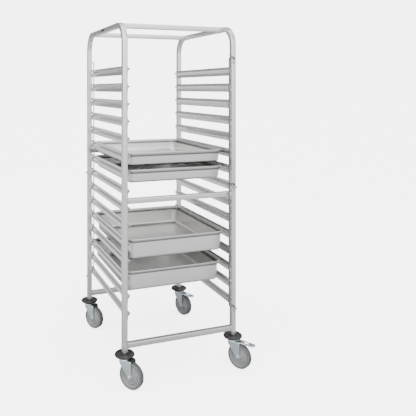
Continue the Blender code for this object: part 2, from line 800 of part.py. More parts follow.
def axle():
    """The wheel bolt and its nut, along Z."""
    outside = FORK_HALF + FORK_SHEET + GAP
    head = AXLE_RADIUS + AXLE_HEAD
    profile = [
        (0, outside + AXLE_HEAD_HEIGHT),
        (head, outside + AXLE_HEAD_HEIGHT),
        (head, outside),
        (AXLE_RADIUS, outside),
        (AXLE_RADIUS, -outside),
        (head, -outside),
        (head, -outside - AXLE_NUT_HEIGHT),
        (0, -outside - AXLE_NUT_HEIGHT),
    ]
    return turned(profile, ROUND_STEPS)


def hub():
    """The wheel's body: boss on the axle, thin web and rim, turned about Z."""
    bore = AXLE_RADIUS + RUNNING
    boss = FORK_HALF - GAP
    upper = [
        (bore, boss),
        (HUB_BOSS, boss),
        (HUB_BOSS, HUB_WEB),
        (HUB_RADIUS - HUB_RIM, HUB_WEB),
        (HUB_RADIUS - HUB_RIM, HUB_HALF),
        (HUB_RADIUS, HUB_HALF),
    ]
    lower = [(radius, -z) for radius, z in reversed(upper)]
    return turned(upper + lower, HUB_STEPS, loop=True)


def tyre():
    """A solid tyre with a lightly crowned tread, turned about Z."""
    half = TREAD_WIDTH / 2
    upper = [
        (HUB_RADIUS + TYRE_CLEARANCE, half - TYRE_BEAD),
        (WHEEL_RADIUS - TREAD_SHOULDER, half),
        (WHEEL_RADIUS, half - TREAD_SHOULDER_WIDTH),
    ]
    lower = [(radius, -z) for radius, z in reversed(upper)]
    half_step = Matrix.Rotation(math.pi / WHEEL_STEPS, 3, "Z")
    return moved(turned(upper + lower, WHEEL_STEPS, loop=True), rotation=half_step)


def pedal():
    """A brake pedal about its pin on Y: top plate with a slot, two cheeks and a shoe."""
    start = PEDAL_START - PEDAL_PIN_X
    tip = PEDAL_LENGTH - PEDAL_PIN_X
    half = FORK_HALF - PEDAL_SIDE_SPACE
    base = CROWN_TOP - PEDAL_PIN_Z
    corner = half * 0.7
    slot_half = half * 0.34
    outline = [(start, -half)]
    outline += circle_points((tip - corner, corner - half), corner, -90, 0, 3)
    outline += circle_points((tip - corner, half - corner), corner, 0, 90, 3)
    outline += [(start, half)]
    slot = circle_points((PEDAL_SLOT[0], 0), slot_half, 90, 270, 4)
    slot += circle_points((PEDAL_SLOT[1], 0), slot_half, -90, 90, 4)
    plate = moved(flat_plate([outline, slot], PEDAL_SHEET), (0, 0, base + PEDAL_SHEET / 2))
    cheek_top = base + PEDAL_SHEET / 2
    cheek = [(start, cheek_top), (start, -CHEEK_BACK_DROP), (-CHEEK_BACK_DROP, -CHEEK_DROP)]
    cheek += [(CHEEK_FRONT, -CHEEK_DROP), (CHEEK_TOP_FRONT, cheek_top)]
    hole = hole_outline((0, 0), PEDAL_PIN_RADIUS + RUNNING + FACET)
    cheek_sheet = PEDAL_SHEET * 0.6
    side_plate = flat_plate([cheek, hole], cheek_sheet)
    offset = half - cheek_sheet / 2 - JOIN
    sides = [moved(side_plate, (0, side * offset, 0), UPRIGHT) for side in (-1, 1)]
    length, width = SHOE_SIZE
    shoe_top = base + PEDAL_SHEET / 2
    shoe_size = (length, width, shoe_top + SHOE_DROP)
    shoe = box(shoe_size, (length, 0, (shoe_top - SHOE_DROP) / 2))
    return united(plate, *sides, shoe)


def fork_guard():
    """A moulded block that closes the fork over the tyre where there is no brake."""
    length = LEG_FRONT - GUARD_BACK
    width = FORK_INSIDE - 4 * GAP
    bottom = AXLE_Z + WHEEL_RADIUS + GUARD_TYRE_SPACE
    top = CROWN_TOP + GUARD_RISE
    piece = working(box((length, width, top - bottom)))
    step = piece.modifiers.new("edges", "BEVEL")
    step.width = GUARD_EDGE
    step.segments = 2
    return moved(settled(piece), (LEG_FRONT - length / 2, 0, (top + bottom) / 2))


def casters():
    """Four swivel casters with soft bumpers; the right-hand pair has brakes."""
    stem_mesh, bumper_mesh = stem(), bumper()
    braked_fork, free_fork = fork(True), fork(False)
    axle_mesh, hub_mesh, tyre_mesh = axle(), hub(), tyre()
    pedal_mesh, guard_mesh = pedal(), fork_guard()
    on_side = (-math.pi / 2, 0, 0)
    for name, side, end, heading, brake in CASTERS:
        foot = (side * HALF_WIDTH, end * HALF_DEPTH, 0)
        place(f"{name}_caster_stem", stem_mesh, "zinc", foot)
        place(f"{name}_bumper", bumper_mesh, "black_plastic", foot)
        swivel = new_empty(f"{name}_swivel", foot, RACK, math.radians(heading))
        place(f"{name}_fork", braked_fork if brake else free_fork, "zinc", parent=swivel)
        centre = (TRAIL, 0, AXLE_Z)
        place(f"{name}_axle", axle_mesh, "zinc", centre, on_side, swivel)
        wheel = new_empty(f"{name}_wheel", centre, swivel)
        place(f"{name}_hub", hub_mesh, "hub_plastic", rotation=on_side, parent=wheel)
        place(f"{name}_tyre", tyre_mesh, "rubber", rotation=on_side, parent=wheel)
        if brake:
            pin = (PEDAL_PIN_X, 0, PEDAL_PIN_Z)
            place(f"{name}_brake_pedal", pedal_mesh, "zinc", pin, parent=swivel)
        else:
            place(f"{name}_fork_guard", guard_mesh, "black_plastic", parent=swivel)


def centre_footprint():
    """Moves the whole rack so that the middle of its footprint is at the origin."""
    bpy.context.view_layer.update()
    graph = bpy.context.evaluated_depsgraph_get()
    corners = []
    for piece in PARTS.objects:
        if piece.type == "MESH":
            solid = piece.evaluated_get(graph)
            corners += [solid.matrix_world @ vertex.co for vertex in solid.data.vertices]
    for axis in (0, 1):
        values = [corner[axis] for corner in corners]
        RACK.location[axis] = -(min(values) + max(values)) / 2
    bpy.context.view_layer.update()


side_frames()
cross_bars()
bolts()
runners()
stop_bars()
pans()
casters()
centre_footprint()
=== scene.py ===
import json
import math

import bmesh
import bpy
import numpy as np
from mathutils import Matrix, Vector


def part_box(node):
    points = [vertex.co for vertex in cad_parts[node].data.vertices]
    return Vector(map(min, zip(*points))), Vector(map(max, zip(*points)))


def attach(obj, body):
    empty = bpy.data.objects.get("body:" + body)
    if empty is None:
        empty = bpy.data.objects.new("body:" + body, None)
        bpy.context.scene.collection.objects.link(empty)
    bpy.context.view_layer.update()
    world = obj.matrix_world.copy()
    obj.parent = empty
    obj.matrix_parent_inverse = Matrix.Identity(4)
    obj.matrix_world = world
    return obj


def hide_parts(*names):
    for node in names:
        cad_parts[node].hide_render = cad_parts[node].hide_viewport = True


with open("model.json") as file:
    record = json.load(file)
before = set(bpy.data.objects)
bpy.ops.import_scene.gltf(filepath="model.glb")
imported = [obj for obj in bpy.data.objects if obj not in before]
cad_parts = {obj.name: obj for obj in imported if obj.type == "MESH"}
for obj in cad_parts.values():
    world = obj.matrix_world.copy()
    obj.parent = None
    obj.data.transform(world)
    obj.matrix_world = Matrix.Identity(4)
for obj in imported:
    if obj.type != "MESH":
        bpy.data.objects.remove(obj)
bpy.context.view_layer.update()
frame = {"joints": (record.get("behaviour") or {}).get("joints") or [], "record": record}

# %% [markdown]
# # The looks of a sheet pan rack
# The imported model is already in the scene: every tube, strip and wheel sits where it works.  What
# is left is what the eye judges: rounded tube corners, folded sheet, pressed pans, turned wheels,
# and steel that looks drawn, rolled or plated.  Each new piece is a surface worked out with numpy,
# rides on the body of the plain part that it stands for, and hides that part.

# %% Places and sizes, read from the frame
record = frame["record"]
joints = {joint["name"]: joint for joint in frame["joints"]}
mounts = {mount["name"]: mount for mount in record["mounts"]}

plain_low, plain_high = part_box("front_left_post")
far_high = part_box("rear_right_post")[1]
LEFT, RIGHT = plain_low.x, far_high.x  # outer faces of the side frames
FRONT, BACK = plain_low.y, far_high.y
FOOT, TOP = plain_low.z, plain_high.z
TUBE = plain_high.x - plain_low.x
MIDDLE_X = (LEFT + RIGHT) / 2
MIDDLE_Y = (FRONT + BACK) / 2
CORNERS = {
    "front_left": (LEFT + TUBE / 2, FRONT + TUBE / 2),
    "front_right": (RIGHT - TUBE / 2, FRONT + TUBE / 2),
    "rear_left": (LEFT + TUBE / 2, BACK - TUBE / 2),
    "rear_right": (RIGHT - TUBE / 2, BACK - TUBE / 2),
}
print(f"frame {RIGHT - LEFT:.3f} x {BACK - FRONT:.3f} x {TOP:.3f} m, tube {TUBE * 1000:.0f} mm")

# %% [markdown]
# ## One way to make a mesh
# A grid of points is the whole shape: rows along one parameter, columns along the other.  The
# faces join neighbours, and either direction can close on itself.  It could be done vertex by
# vertex, but whole arrays are shorter and quicker, and they give every face its UVs in metres, so
# that a grain can follow a tube round its bend.

# %% Grid to mesh


def finished(name, mesh, material, sharp=40):
    """An object at the origin with smooth faces, sharp edges past an angle, and one material."""
    mesh.shade_smooth()
    mesh.set_sharp_from_angle(angle=math.radians(sharp))
    mesh.materials.append(material)
    piece = bpy.data.objects.new(name, mesh)
    bpy.context.scene.collection.objects.link(piece)
    return piece


def distances(points, wrap):
    """Running length along a row of points, with the closing step if it wraps."""
    ring = np.vstack([points, points[:1]]) if wrap else points
    steps = np.linalg.norm(np.diff(ring, axis=0), axis=1)
    return np.concatenate([[0.0], np.cumsum(steps)])


def surface(name, grid, material, wrap=(False, True), caps=False, sharp=40, recess=None):
    """A mesh over a (rows, columns, 3) grid; wrap closes rows or columns, caps fill both ends.

    Face (i, j) joins points (i, j), (i, j+1), (i+1, j+1) and (i+1, j).  Its UVs are the running
    lengths along the first column and the first row, in metres.  A recess, from 0 to 1 at each
    point, is kept as an attribute for the material to read; pans and hubs darken by it as painted
    shade.
    """
    rows, columns, _ = grid.shape
    i, j = np.meshgrid(
        np.arange(rows if wrap[0] else rows - 1),
        np.arange(columns if wrap[1] else columns - 1),
        indexing="ij",
    )
    corner_i = np.stack([i, i, i + 1, i + 1], axis=-1).reshape(-1, 4)
    corner_j = np.stack([j, j + 1, j + 1, j], axis=-1).reshape(-1, 4)
    faces = ((corner_i % rows) * columns + corner_j % columns).tolist()
    if caps:
        faces += [list(range(columns)), list(range((rows - 1) * columns, rows * columns))]
    mesh = bpy.data.meshes.new(name)
    mesh.from_pydata(grid.reshape(-1, 3), [], faces)
    along = distances(grid[:, 0], wrap[0])
    around = distances(grid[rows // 2], wrap[1])
    uv = np.zeros((len(mesh.loops), 2))
    quads = corner_i.size
    uv[:quads, 0] = along[corner_i.ravel()]
    uv[:quads, 1] = around[corner_j.ravel()]
    mesh.uv_layers.new(name="metres").data.foreach_set("uv", uv.ravel())
    if recess is not None:
        mesh.attributes.new("recess", "FLOAT", "POINT").data.foreach_set("value", recess.ravel())
    tidy = bmesh.new()
    tidy.from_mesh(mesh)
    bmesh.ops.remove_doubles(tidy, verts=tidy.verts, dist=1e-6)
    bmesh.ops.recalc_face_normals(tidy, faces=tidy.faces)
    tidy.to_mesh(mesh)
    tidy.free()
    return finished(name, mesh, material, sharp)


# %% [markdown]
# ## Paths, outlines and turned shapes
# Four small tools cover nearly everything on a rack: a corner rounded by an arc, an outline with
# rounded corners, an outline carried along a path, and an outline turned about an axis.

# %% Outlines and paths


def arc(centre, radius, start, end, steps):
    """Points (steps + 1, 2) on a circle between two angles in degrees."""
    angle = np.radians(np.linspace(start, end, steps + 1))
    return np.column_stack([np.cos(angle), np.sin(angle)]) * radius + centre


def rounded_rectangle(half_x, half_y, radius, steps=5):
    """An outline of four arcs, anticlockwise from the right-hand side."""
    signs = ((1, 1), (-1, 1), (-1, -1), (1, -1))
    parts = [
        arc((sx * (half_x - radius), sy * (half_y - radius)), radius, 90 * k, 90 * k + 90, steps)
        for k, (sx, sy) in enumerate(signs)
    ]
    return np.vstack(parts)


def rounded(corners, radii, steps=6):
    """A path through corners, each replaced by an arc that touches both of its sides.

    The arc's centre is on the corner's bisector at radius / sin(half angle); its points are the
    start direction turned evenly to the end direction.
    """
    corners = np.asarray(corners, float)
    radii = np.broadcast_to(radii, len(corners) - 2)
    path = [corners[:1]]
    for k, radius in enumerate(radii, start=1):
        come = corners[k - 1] - corners[k]
        leave = corners[k + 1] - corners[k]
        come, leave = come / np.linalg.norm(come), leave / np.linalg.norm(leave)
        half = math.acos(np.clip(come @ leave, -1, 1)) / 2
        bisector = (come + leave) / np.linalg.norm(come + leave)
        centre = corners[k] + bisector * radius / math.sin(half)
        start = corners[k] + come * radius / math.tan(half) - centre
        end = corners[k] + leave * radius / math.tan(half) - centre
        turn = math.pi - 2 * half
        t = np.linspace(0, 1, steps + 1)[:, None]
        path.append(centre + (np.sin((1 - t) * turn) * start + np.sin(t * turn) * end) / math.sin(turn))
    path.append(corners[-1:])
    return np.vstack(path)


def carried(path, profile, side):
    """Rings of a 2D profile along a path: x along the unit vector side, y along tangent x side."""
    tangent = np.gradient(path, axis=0)
    tangent /= np.linalg.norm(tangent, axis=1)[:, None]
    side = np.broadcast_to(np.asarray(side, float), path.shape)
    side = side - (side * tangent).sum(axis=1)[:, None] * tangent
    side /= np.linalg.norm(side, axis=1)[:, None]
    up = np.cross(tangent, side)
    x, y = profile[None, :, 0, None], profile[None, :, 1, None]
    return path[:, None] + x * side[:, None] + y * up[:, None]


def turned(profile, steps=48, flats=0):
    """A (radius, z) profile turned about Z; flats cuts it to a polygon where it is wider.

    The polygon's radius at an angle is its inner radius over the cosine of the angle from the
    nearest flat's middle.  Column 2 of the profile, if given, is that inner radius.
    """
    profile = np.asarray(profile, float)
    angle = np.linspace(0, 2 * math.pi, steps, endpoint=False)[None]
    radius = np.broadcast_to(profile[:, :1], (len(profile), steps))
    if flats:
        sector = 2 * math.pi / flats
        from_middle = (angle + sector / 2) % sector - sector / 2
        radius = np.minimum(radius, profile[:, 2:3] / np.cos(from_middle))
    z = np.broadcast_to(profile[:, 1:2], radius.shape)
    return np.stack([radius * np.cos(angle), radius * np.sin(angle), z], axis=-1)


def put(grid, origin, heading=(1, 0, 0), axis=(0, 0, 1)):
    """A local grid in the row frame: its Z along axis, its X along heading."""
    axis = np.asarray(axis, float)
    heading = np.asarray(heading, float)
    basis = np.stack([heading, np.cross(axis, heading), axis])
    return grid @ basis + np.asarray(origin, float)


# %% [markdown]
# ## Steel that has a direction
# Drawn tube, rolled strip and pressed sheet all carry fine lines along the way they were worked.
# The lines could be a picture, but a stretched noise does it at any scale: squeezed across the
# grain and drawn out along it.  The same group serves every metal here, with its own numbers.

# %% Shared effects as node groups


def new_group(name, inputs, outputs):
    """An empty shader node group with named sockets; returns it with its two end nodes."""
    group = bpy.data.node_groups.new(name, "ShaderNodeTree")
    for socket, kind, value in inputs:
        made = group.interface.new_socket(socket, in_out="INPUT", socket_type=kind)
        if value is not None:
            made.default_value = value
    for socket, kind in outputs:
        group.interface.new_socket(socket, in_out="OUTPUT", socket_type=kind)
    return group, group.nodes.new("NodeGroupInput"), group.nodes.new("NodeGroupOutput")


def feed(tree, made, values):
    """Sets a node's inputs from a dictionary, each to a number or to another node's output."""
    for key, value in values.items():
        if isinstance(value, bpy.types.NodeSocket):
            tree.links.new(value, made.inputs[key])
        else:
            made.inputs[key].default_value = value


def node(tree, kind, values=None, **settings):
    """A node with its properties set by name and its inputs fed from a dictionary."""
    made = tree.nodes.new(kind)
    for key, value in settings.items():
        setattr(made, key, value)
    feed(tree, made, values or {})
    return made


def multiply(tree, value, by):
    """The product of a socket and a number or another socket."""
    return node(tree, "ShaderNodeMath", {0: value, 1: by}, operation="MULTIPLY").outputs[0]


def noise(tree, place, scale, **values):
    """The grey value of a noise at a place, with its other inputs set by name."""
    values = {"Vector": place, "Scale": scale, **values}
    return node(tree, "ShaderNodeTexNoise", values).outputs["Fac"]


ALONG = 9.0  # the grain's scale along the piece
BROADER = (0.35, 0.08, 0.08)  # the streaks' scale as a share of the lines', along and across


def grain_group():
    """Fine lines along the first coordinate: noise squeezed across and drawn out along."""
    tree, source, sink = new_group(
        "drawn_grain",
        [("Vector", "NodeSocketVector", None), ("Across", "NodeSocketFloat", 900.0)],
        [("Lines", "NodeSocketFloat"), ("Streaks", "NodeSocketFloat")],
    )
    split = node(tree, "ShaderNodeSeparateXYZ", {0: source.outputs["Vector"]}).outputs
    scales = {"X": ALONG, "Y": source.outputs["Across"], "Z": source.outputs["Across"]}
    scaled = {axis: multiply(tree, split[axis], by) for axis, by in scales.items()}
    joined = node(tree, "ShaderNodeCombineXYZ", scaled).outputs[0]
    broader = node(tree, "ShaderNodeVectorMath", {0: joined, 1: BROADER}, operation="MULTIPLY")
    fine = noise(tree, joined, 1.0, Detail=3.0, Roughness=0.65)
    broad = noise(tree, broader.outputs[0], 1.0, Detail=2.0)
    feed(tree, sink, {"Lines": fine, "Streaks": broad})
    return tree


SMUDGE_SCALE = 4.5  # how many smudges go to one cloud


def handling_group():
    """Soft clouds and smudges: a mask of where a surface has been handled or has dulled."""
    tree, source, sink = new_group(
        "handling_marks",
        [("Vector", "NodeSocketVector", None), ("Size", "NodeSocketFloat", 9.0)],
        [("Clouds", "NodeSocketFloat"), ("Smudges", "NodeSocketFloat")],
    )
    place, size = source.outputs["Vector"], source.outputs["Size"]
    clouds = noise(tree, place, size, Detail=4.0, Roughness=0.55)
    small = multiply(tree, size, SMUDGE_SCALE)
    marks = noise(tree, place, small, Detail=1.0, Roughness=0.4, Distortion=0.2)
    ramp = node(tree, "ShaderNodeValToRGB", {"Fac": marks})
    ramp.color_ramp.elements[0].position = 0.52
    ramp.color_ramp.elements[1].position = 0.72
    feed(tree, sink, {"Clouds": clouds, "Smudges": ramp.outputs["Color"]})
    return tree


GRAIN = grain_group()
HANDLING = handling_group()
print("shader groups:", GRAIN.name, HANDLING.name)

# %% [markdown]
# ## Five finishes of metal
# Satin tube, rolled strip, polished wire, pressed pans and plated fittings differ in colour, in
# how rough they are and in how fine their grain is; the wire's far darker colour is painted shade.
# Each could be its own material, but one function with those numbers keeps them a family, and one
# light changes them together.

# %% Materials for the metals


def new_material(name):
    """A node material; returns it with its tree and its main shader."""
    made = bpy.data.materials.new(name)
    made.use_nodes = True
    return made, made.node_tree, made.node_tree.nodes["Principled BSDF"]


def mixed(tree, factor, low, high):
    """A colour between two, by a 0 to 1 socket."""
    values = {"Factor": factor, "A": (*low, 1), "B": (*high, 1)}
    return node(tree, "ShaderNodeMix", values, data_type="RGBA").outputs["Result"]


def multiplied(tree, first, second):
    """The product of two colour sockets."""
    values = {"Factor": 1.0, "A": first, "B": second}
    made = node(tree, "ShaderNodeMix", values, data_type="RGBA", blend_type="MULTIPLY")
    return made.outputs["Result"]


def ranged(tree, value, low, high):
    """A 0.3 to 0.7 noise value spread over a range."""
    values = {"Value": value, "From Min": 0.3, "From Max": 0.7, "To Min": low, "To Max": high}
    return node(tree, "ShaderNodeMapRange", values).outputs["Result"]


def relief(tree, height, strength, depth):
    """The normals of a surface that rises and falls with a socket."""
    values = {"Height": height, "Strength": strength, "Distance": depth}
    return node(tree, "ShaderNodeBump", values).outputs["Normal"]


SMUDGE_ROUGHNESS = 0.03
GRAIN_DEPTH = 0.0001


def metal(name, colour, roughness, across=900.0, cloud=9.0, bump=0.05, contrast=0.05, streak=0.06):
    """Steel with a drawn grain along the piece, dull clouds and smudges."""
    made, tree, shader = new_material(name)
    place = node(tree, "ShaderNodeTexCoord").outputs
    values = {"Vector": place["UV"], "Across": across}
    grain = node(tree, "ShaderNodeGroup", values, node_tree=GRAIN).outputs
    values = {"Vector": place["Object"], "Size": cloud}
    marks = node(tree, "ShaderNodeGroup", values, node_tree=HANDLING).outputs
    base = np.array(colour)
    lines = mixed(tree, grain["Lines"], base * (1 - contrast), base * (1 + contrast))
    dull = mixed(tree, marks["Clouds"], (0.95, 0.95, 0.95), (1.0, 1.0, 1.0))
    streaky = ranged(tree, grain["Streaks"], roughness - streak, roughness + streak)
    values = {0: marks["Smudges"], 1: SMUDGE_ROUGHNESS, 2: streaky}
    smudged = node(tree, "ShaderNodeMath", values, operation="MULTIPLY_ADD").outputs[0]
    looks = {"Metallic": 1.0, "Base Color": multiplied(tree, lines, dull), "Roughness": smudged}
    feed(tree, shader, {**looks, "Normal": relief(tree, grain["Lines"], bump, GRAIN_DEPTH)})
    return made


TUBE_STEEL = metal("satin_tube_steel", (0.60, 0.60, 0.61), 0.33)
RUNNER_STEEL = metal(
    "rolled_runner_steel", (0.72, 0.72, 0.73), 0.24, across=700.0, bump=0.02, contrast=0.03, streak=0.025
)
# painted shade: the wire is given a far darker colour than steel has, for the shade it sits in
WIRE_STEEL = metal("polished_wire_steel", (0.13, 0.13, 0.135), 0.17, across=1500.0)
PAN_STEEL = metal(
    "pressed_pan_steel", (0.67, 0.665, 0.655), 0.31, cloud=5.0, bump=0.02, contrast=0.02, streak=0.02
)
ZINC = metal("plated_zinc", (0.64, 0.73, 0.76), 0.32, across=240.0, cloud=45.0, contrast=0.06)
print("metals made")

# %% [markdown]
# ## Rubber and plastic
# Grey tyre rubber is matt and slightly dusty, the wheel's body is moulded plastic with a faint
# sheen, and the bumpers are black and soft.  All three are a base colour that drifts a little,
# a roughness that drifts with it and a fine pebbled surface.

# %% Materials for the soft and moulded pieces


PEBBLE_SCALE = 1400.0
PEBBLE_DEPTH = 0.0004
CLOUD_SIZE = 60.0


def moulded(name, colour, dusty, roughness, gloss=0.5):
    """A dielectric whose colour drifts between clean and dusty, with a pebbled surface."""
    made, tree, shader = new_material(name)
    place = node(tree, "ShaderNodeTexCoord").outputs["Object"]
    marks = node(tree, "ShaderNodeGroup", {"Vector": place, "Size": CLOUD_SIZE}, node_tree=HANDLING)
    clouds = marks.outputs["Clouds"]
    looks = {
        "Specular IOR Level": gloss,
        "Base Color": mixed(tree, clouds, colour, dusty),
        "Roughness": ranged(tree, clouds, roughness - 0.06, roughness + 0.08),
        "Normal": relief(tree, noise(tree, place, PEBBLE_SCALE, Detail=2.0), 0.12, PEBBLE_DEPTH),
    }
    feed(tree, shader, looks)
    return made


TYRE_RUBBER = moulded("grey_tyre_rubber", (0.10, 0.106, 0.109), (0.14, 0.147, 0.15), 0.58)
HUB_PLASTIC = moulded("grey_hub_plastic", (0.31, 0.32, 0.325), (0.38, 0.39, 0.395), 0.42)
BUMPER_RUBBER = moulded("black_bumper_rubber", (0.012, 0.012, 0.012), (0.024, 0.023, 0.024), 0.38, gloss=0.35)
BLACK_PLASTIC = moulded("black_moulded_plastic", (0.010, 0.010, 0.011), (0.02, 0.02, 0.021), 0.36, gloss=0.3)


def darken(material, mask, share):
    """Multiplies a material's colour down to a share of itself where a mask socket is 1: painted shade on
    pans and hubs, the darker tread on the tyre.
    """
    tree = material.node_tree
    colour = tree.nodes["Principled BSDF"].inputs["Base Color"]
    shade_and_tread_tone = mixed(tree, mask, (1.0, 1.0, 1.0), (share, share, share))
    tree.links.new(multiplied(tree, colour.links[0].from_socket, shade_and_tread_tone), colour)


def groove_mask(material):
    """The recess attribute that a surface may carry, marking where painted shade goes; 0 where it carries
    none.
    """
    return node(material.node_tree, "ShaderNodeAttribute", attribute_name="recess").outputs["Fac"]


def tread_mask(material):
    """1 on the tread, by how far along the tyre's outline a point lies from the tread's middle."""
    tree = material.node_tree
    place = node(tree, "ShaderNodeTexCoord").outputs["UV"]
    along = node(tree, "ShaderNodeSeparateXYZ", {0: place}).outputs["X"]
    away = node(tree, "ShaderNodeMath", {0: along, 1: TREAD_MIDDLE}, operation="SUBTRACT").outputs[0]
    distance = node(tree, "ShaderNodeMath", {0: away}, operation="ABSOLUTE").outputs[0]
    edges = {"From Min": TREAD_HALF - TREAD_FADE, "From Max": TREAD_HALF + TREAD_FADE}
    values = {"Value": distance, **edges, "To Min": 1.0, "To Max": 0.0}
    return node(tree, "ShaderNodeMapRange", values).outputs["Result"]


TREAD_MIDDLE = 0.0262  # along the tyre's outline from its bore
TREAD_HALF = 0.0125
TREAD_FADE = 0.002
darken(TYRE_RUBBER, tread_mask(TYRE_RUBBER), 0.5)
# painted shade: the hubs' pressed grooves darken the deeper they go
darken(HUB_PLASTIC, groove_mask(HUB_PLASTIC), 0.30)
# painted shade: the line under each pan's shoulder is darkened to a quarter
darken(PAN_STEEL, groove_mask(PAN_STEEL), 0.25)
print("rubber and plastic made, grooves darkened")

# %% [markdown]
# ## Riding on the frame
# Every finished piece is tied to the body that it moves with and hides the plain part that it
# stands for.  One short call does both.

# %% Handing a piece to the frame


def fit(piece, body, slot, *nodes):
    """The piece rides on a body and stands for the plain nodes; the slot is not used."""
    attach(piece, body)
    if nodes:
        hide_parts(*nodes)
    return piece


# %% [markdown]
# ## Square tube, straight and bent
# The posts are one length of 25 mm square tube with rolled corners, bent at the top and carried
# on into the rail.  A box with bevelled edges would do for the straight bars, but not for the
# bend, so both are the same surface: a rounded square carried along a path, out along the outer
# wall and back along the inner one, which leaves the ends open and gives the wall its thickness.

# %% Tubes
TUBE_WALL = 0.0015
TUBE_CORNER = 0.003
BEND_RADIUS = 0.090
SEAM = 0.0003  # a hair's gap where two pieces would share a face


def square_tube(name, path, side, material=TUBE_STEEL):
    """A hollow square tube along a path, closed over both ends of its wall."""
    half = TUBE / 2
    outer = carried(path, rounded_rectangle(half, half, TUBE_CORNER), side)
    inner_half = half - TUBE_WALL
    inner = carried(path, rounded_rectangle(inner_half, inner_half, TUBE_CORNER / 2), side)
    return surface(name, np.concatenate([outer, inner[::-1]]), material, wrap=(True, True))


def straight(start, end, steps=2):
    """Evenly spaced points from one place to another."""
    t = np.linspace(0, 1, steps)[:, None]
    return np.asarray(start) * (1 - t) + np.asarray(end) * t


for corner, (x, y) in CORNERS.items():
    inward = 1 if y < MIDDLE_Y else -1
    low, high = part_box(f"{corner}_post")
    tail = high.y if inward > 0 else low.y
    route = rounded([(x, y, FOOT), (x, y, TOP - TUBE / 2), (x, tail, TOP - TUBE / 2)], BEND_RADIUS, 18)
    post = square_tube(f"{corner}_post_tube", route, (1, 0, 0))
    fit(post, "frame", "stainless_tube", f"{corner}_post")

SPIGOT = 0.030  # how far the plain rail reaches inside each post's end
for word, x in (("left", LEFT + TUBE / 2), ("right", RIGHT - TUBE / 2)):
    low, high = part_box(f"{word}_top_rail")
    ends = (low.y + SPIGOT, high.y - SPIGOT)
    route = straight((x, ends[0], TOP - TUBE / 2), (x, ends[1], TOP - TUBE / 2))
    rail = square_tube(f"{word}_rail_tube", route, (1, 0, 0))
    fit(rail, "frame", "stainless_tube", f"{word}_top_rail")

for row in ("top", "middle", "bottom"):
    for word in ("front", "rear"):
        low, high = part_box(f"{word}_{row}_bar")
        centre = (low + high) / 2
        route = straight((low.x, centre.y, centre.z), (high.x, centre.y, centre.z))
        bar = square_tube(f"{word}_{row}_bar_tube", route, (0, 1, 0))
        fit(bar, "frame", "stainless_tube", f"{word}_{row}_bar")
print("tubes:", 4 + 2 + 6)

# %% [markdown]
# ## Runner strips
# Each strip is rolled from flat sheet: up the post, out and up over a ridge, back along a flat
# ledge, and up again.  The centre line of that section is a path with small fold radii.  Moving
# it half a thickness each way along its normals gives a closed outline, carried from front to
# back.  Every strip is its own piece, as it is on the bench.

# %% Runners
SHEET = 0.0012
LEDGE_RISE = 0.015
WEB_BELOW = 0.017
WEB_ABOVE = 0.012
FOLD_RADIUS = 0.0013
LEVELS = 15
ledges = np.linspace(
    mounts["level_01_left_ledge"]["pos_m"][2], mounts["level_15_left_ledge"]["pos_m"][2], LEVELS
)
folds = ledges - LEDGE_RISE


def sheet_outline(centre_line, thickness):
    """A closed outline half a thickness to each side of a path, along its normals."""
    tangent = np.gradient(centre_line, axis=0)
    tangent /= np.linalg.norm(tangent, axis=1)[:, None]
    normal = np.column_stack([-tangent[:, 1], tangent[:, 0]]) * thickness / 2
    return np.vstack([centre_line + normal, (centre_line - normal)[::-1]])


def runner_section(reach):
    """The folded section, x inwards from the post and y up from the lower fold."""
    web, tip = SHEET / 2, reach - SHEET / 2
    ledge = LEDGE_RISE - SHEET / 2
    corners = [(web, -WEB_BELOW), (web, 0), (tip, ledge), (web, ledge), (web, LEDGE_RISE + WEB_ABOVE)]
    return sheet_outline(rounded(corners, (0.002, FOLD_RADIUS / 2, FOLD_RADIUS), 4), SHEET)


ladders = (("upper", range(0, 6)), ("middle", range(6, 8)), ("lower", range(8, 15)))
for word, inward in (("left", 1), ("right", -1)):
    for ladder, levels in ladders:
        node_name = f"{word}_{ladder}_runners"
        low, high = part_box(node_name)
        face = low.x if inward > 0 else high.x
        section = runner_section(high.x - low.x)
        for level in levels:
            route = straight((face, low.y, folds[level]), (face, high.y, folds[level]))
            rings = route[:, None] + np.zeros((1, len(section), 3))
            rings[..., 0] += inward * section[:, 0]
            rings[..., 2] += section[:, 1]
            strip = surface(f"{word}_runner_{level + 1:02d}", rings, RUNNER_STEEL, caps=True)
            fit(strip, "frame", "runner_steel", node_name)
print("runner strips:", 2 * LEVELS, "pitch", round(float(folds[0] - folds[1]), 4))

# %% [markdown]
# ## Stop bars
# A stop bar is one bent wire with a branch welded on at half height.  Each of its three ends
# turns down into an eye on the post, and the bar swings about that line.  A curve with a bevel
# would make it too; here a small circle is carried along a path with rounded corners.

# %% Wires and eyes
WIRE_RADIUS = 0.003
WIRE_BEND = 0.011
PIN_DROP = 0.030
EYE_DROP = 0.014
EYE_HEIGHT = 0.012
EYE_WALL = 0.0028
circle = arc((0, 0), 1.0, 0, 345, 23)


END_RING = 0.6  # the inner ring of a cut end, as a share of the wire's radius


def wire(name, corners):
    """A round wire with rounded bends and an inner ring on each flat end."""
    path = rounded(corners, WIRE_BEND, 7)
    rings = carried(path, circle * WIRE_RADIUS, (0, 1, 0))
    first, last = (path[k] + (rings[k] - path[k]) * END_RING for k in (0, -1))
    rings = np.concatenate([first[None], rings, last[None]])
    return surface(name, rings, WIRE_STEEL, caps=True, sharp=60)


EYE_CLEARANCE = 0.0004
EYE_EDGE = 0.0005
TAB_HALF = 0.00125


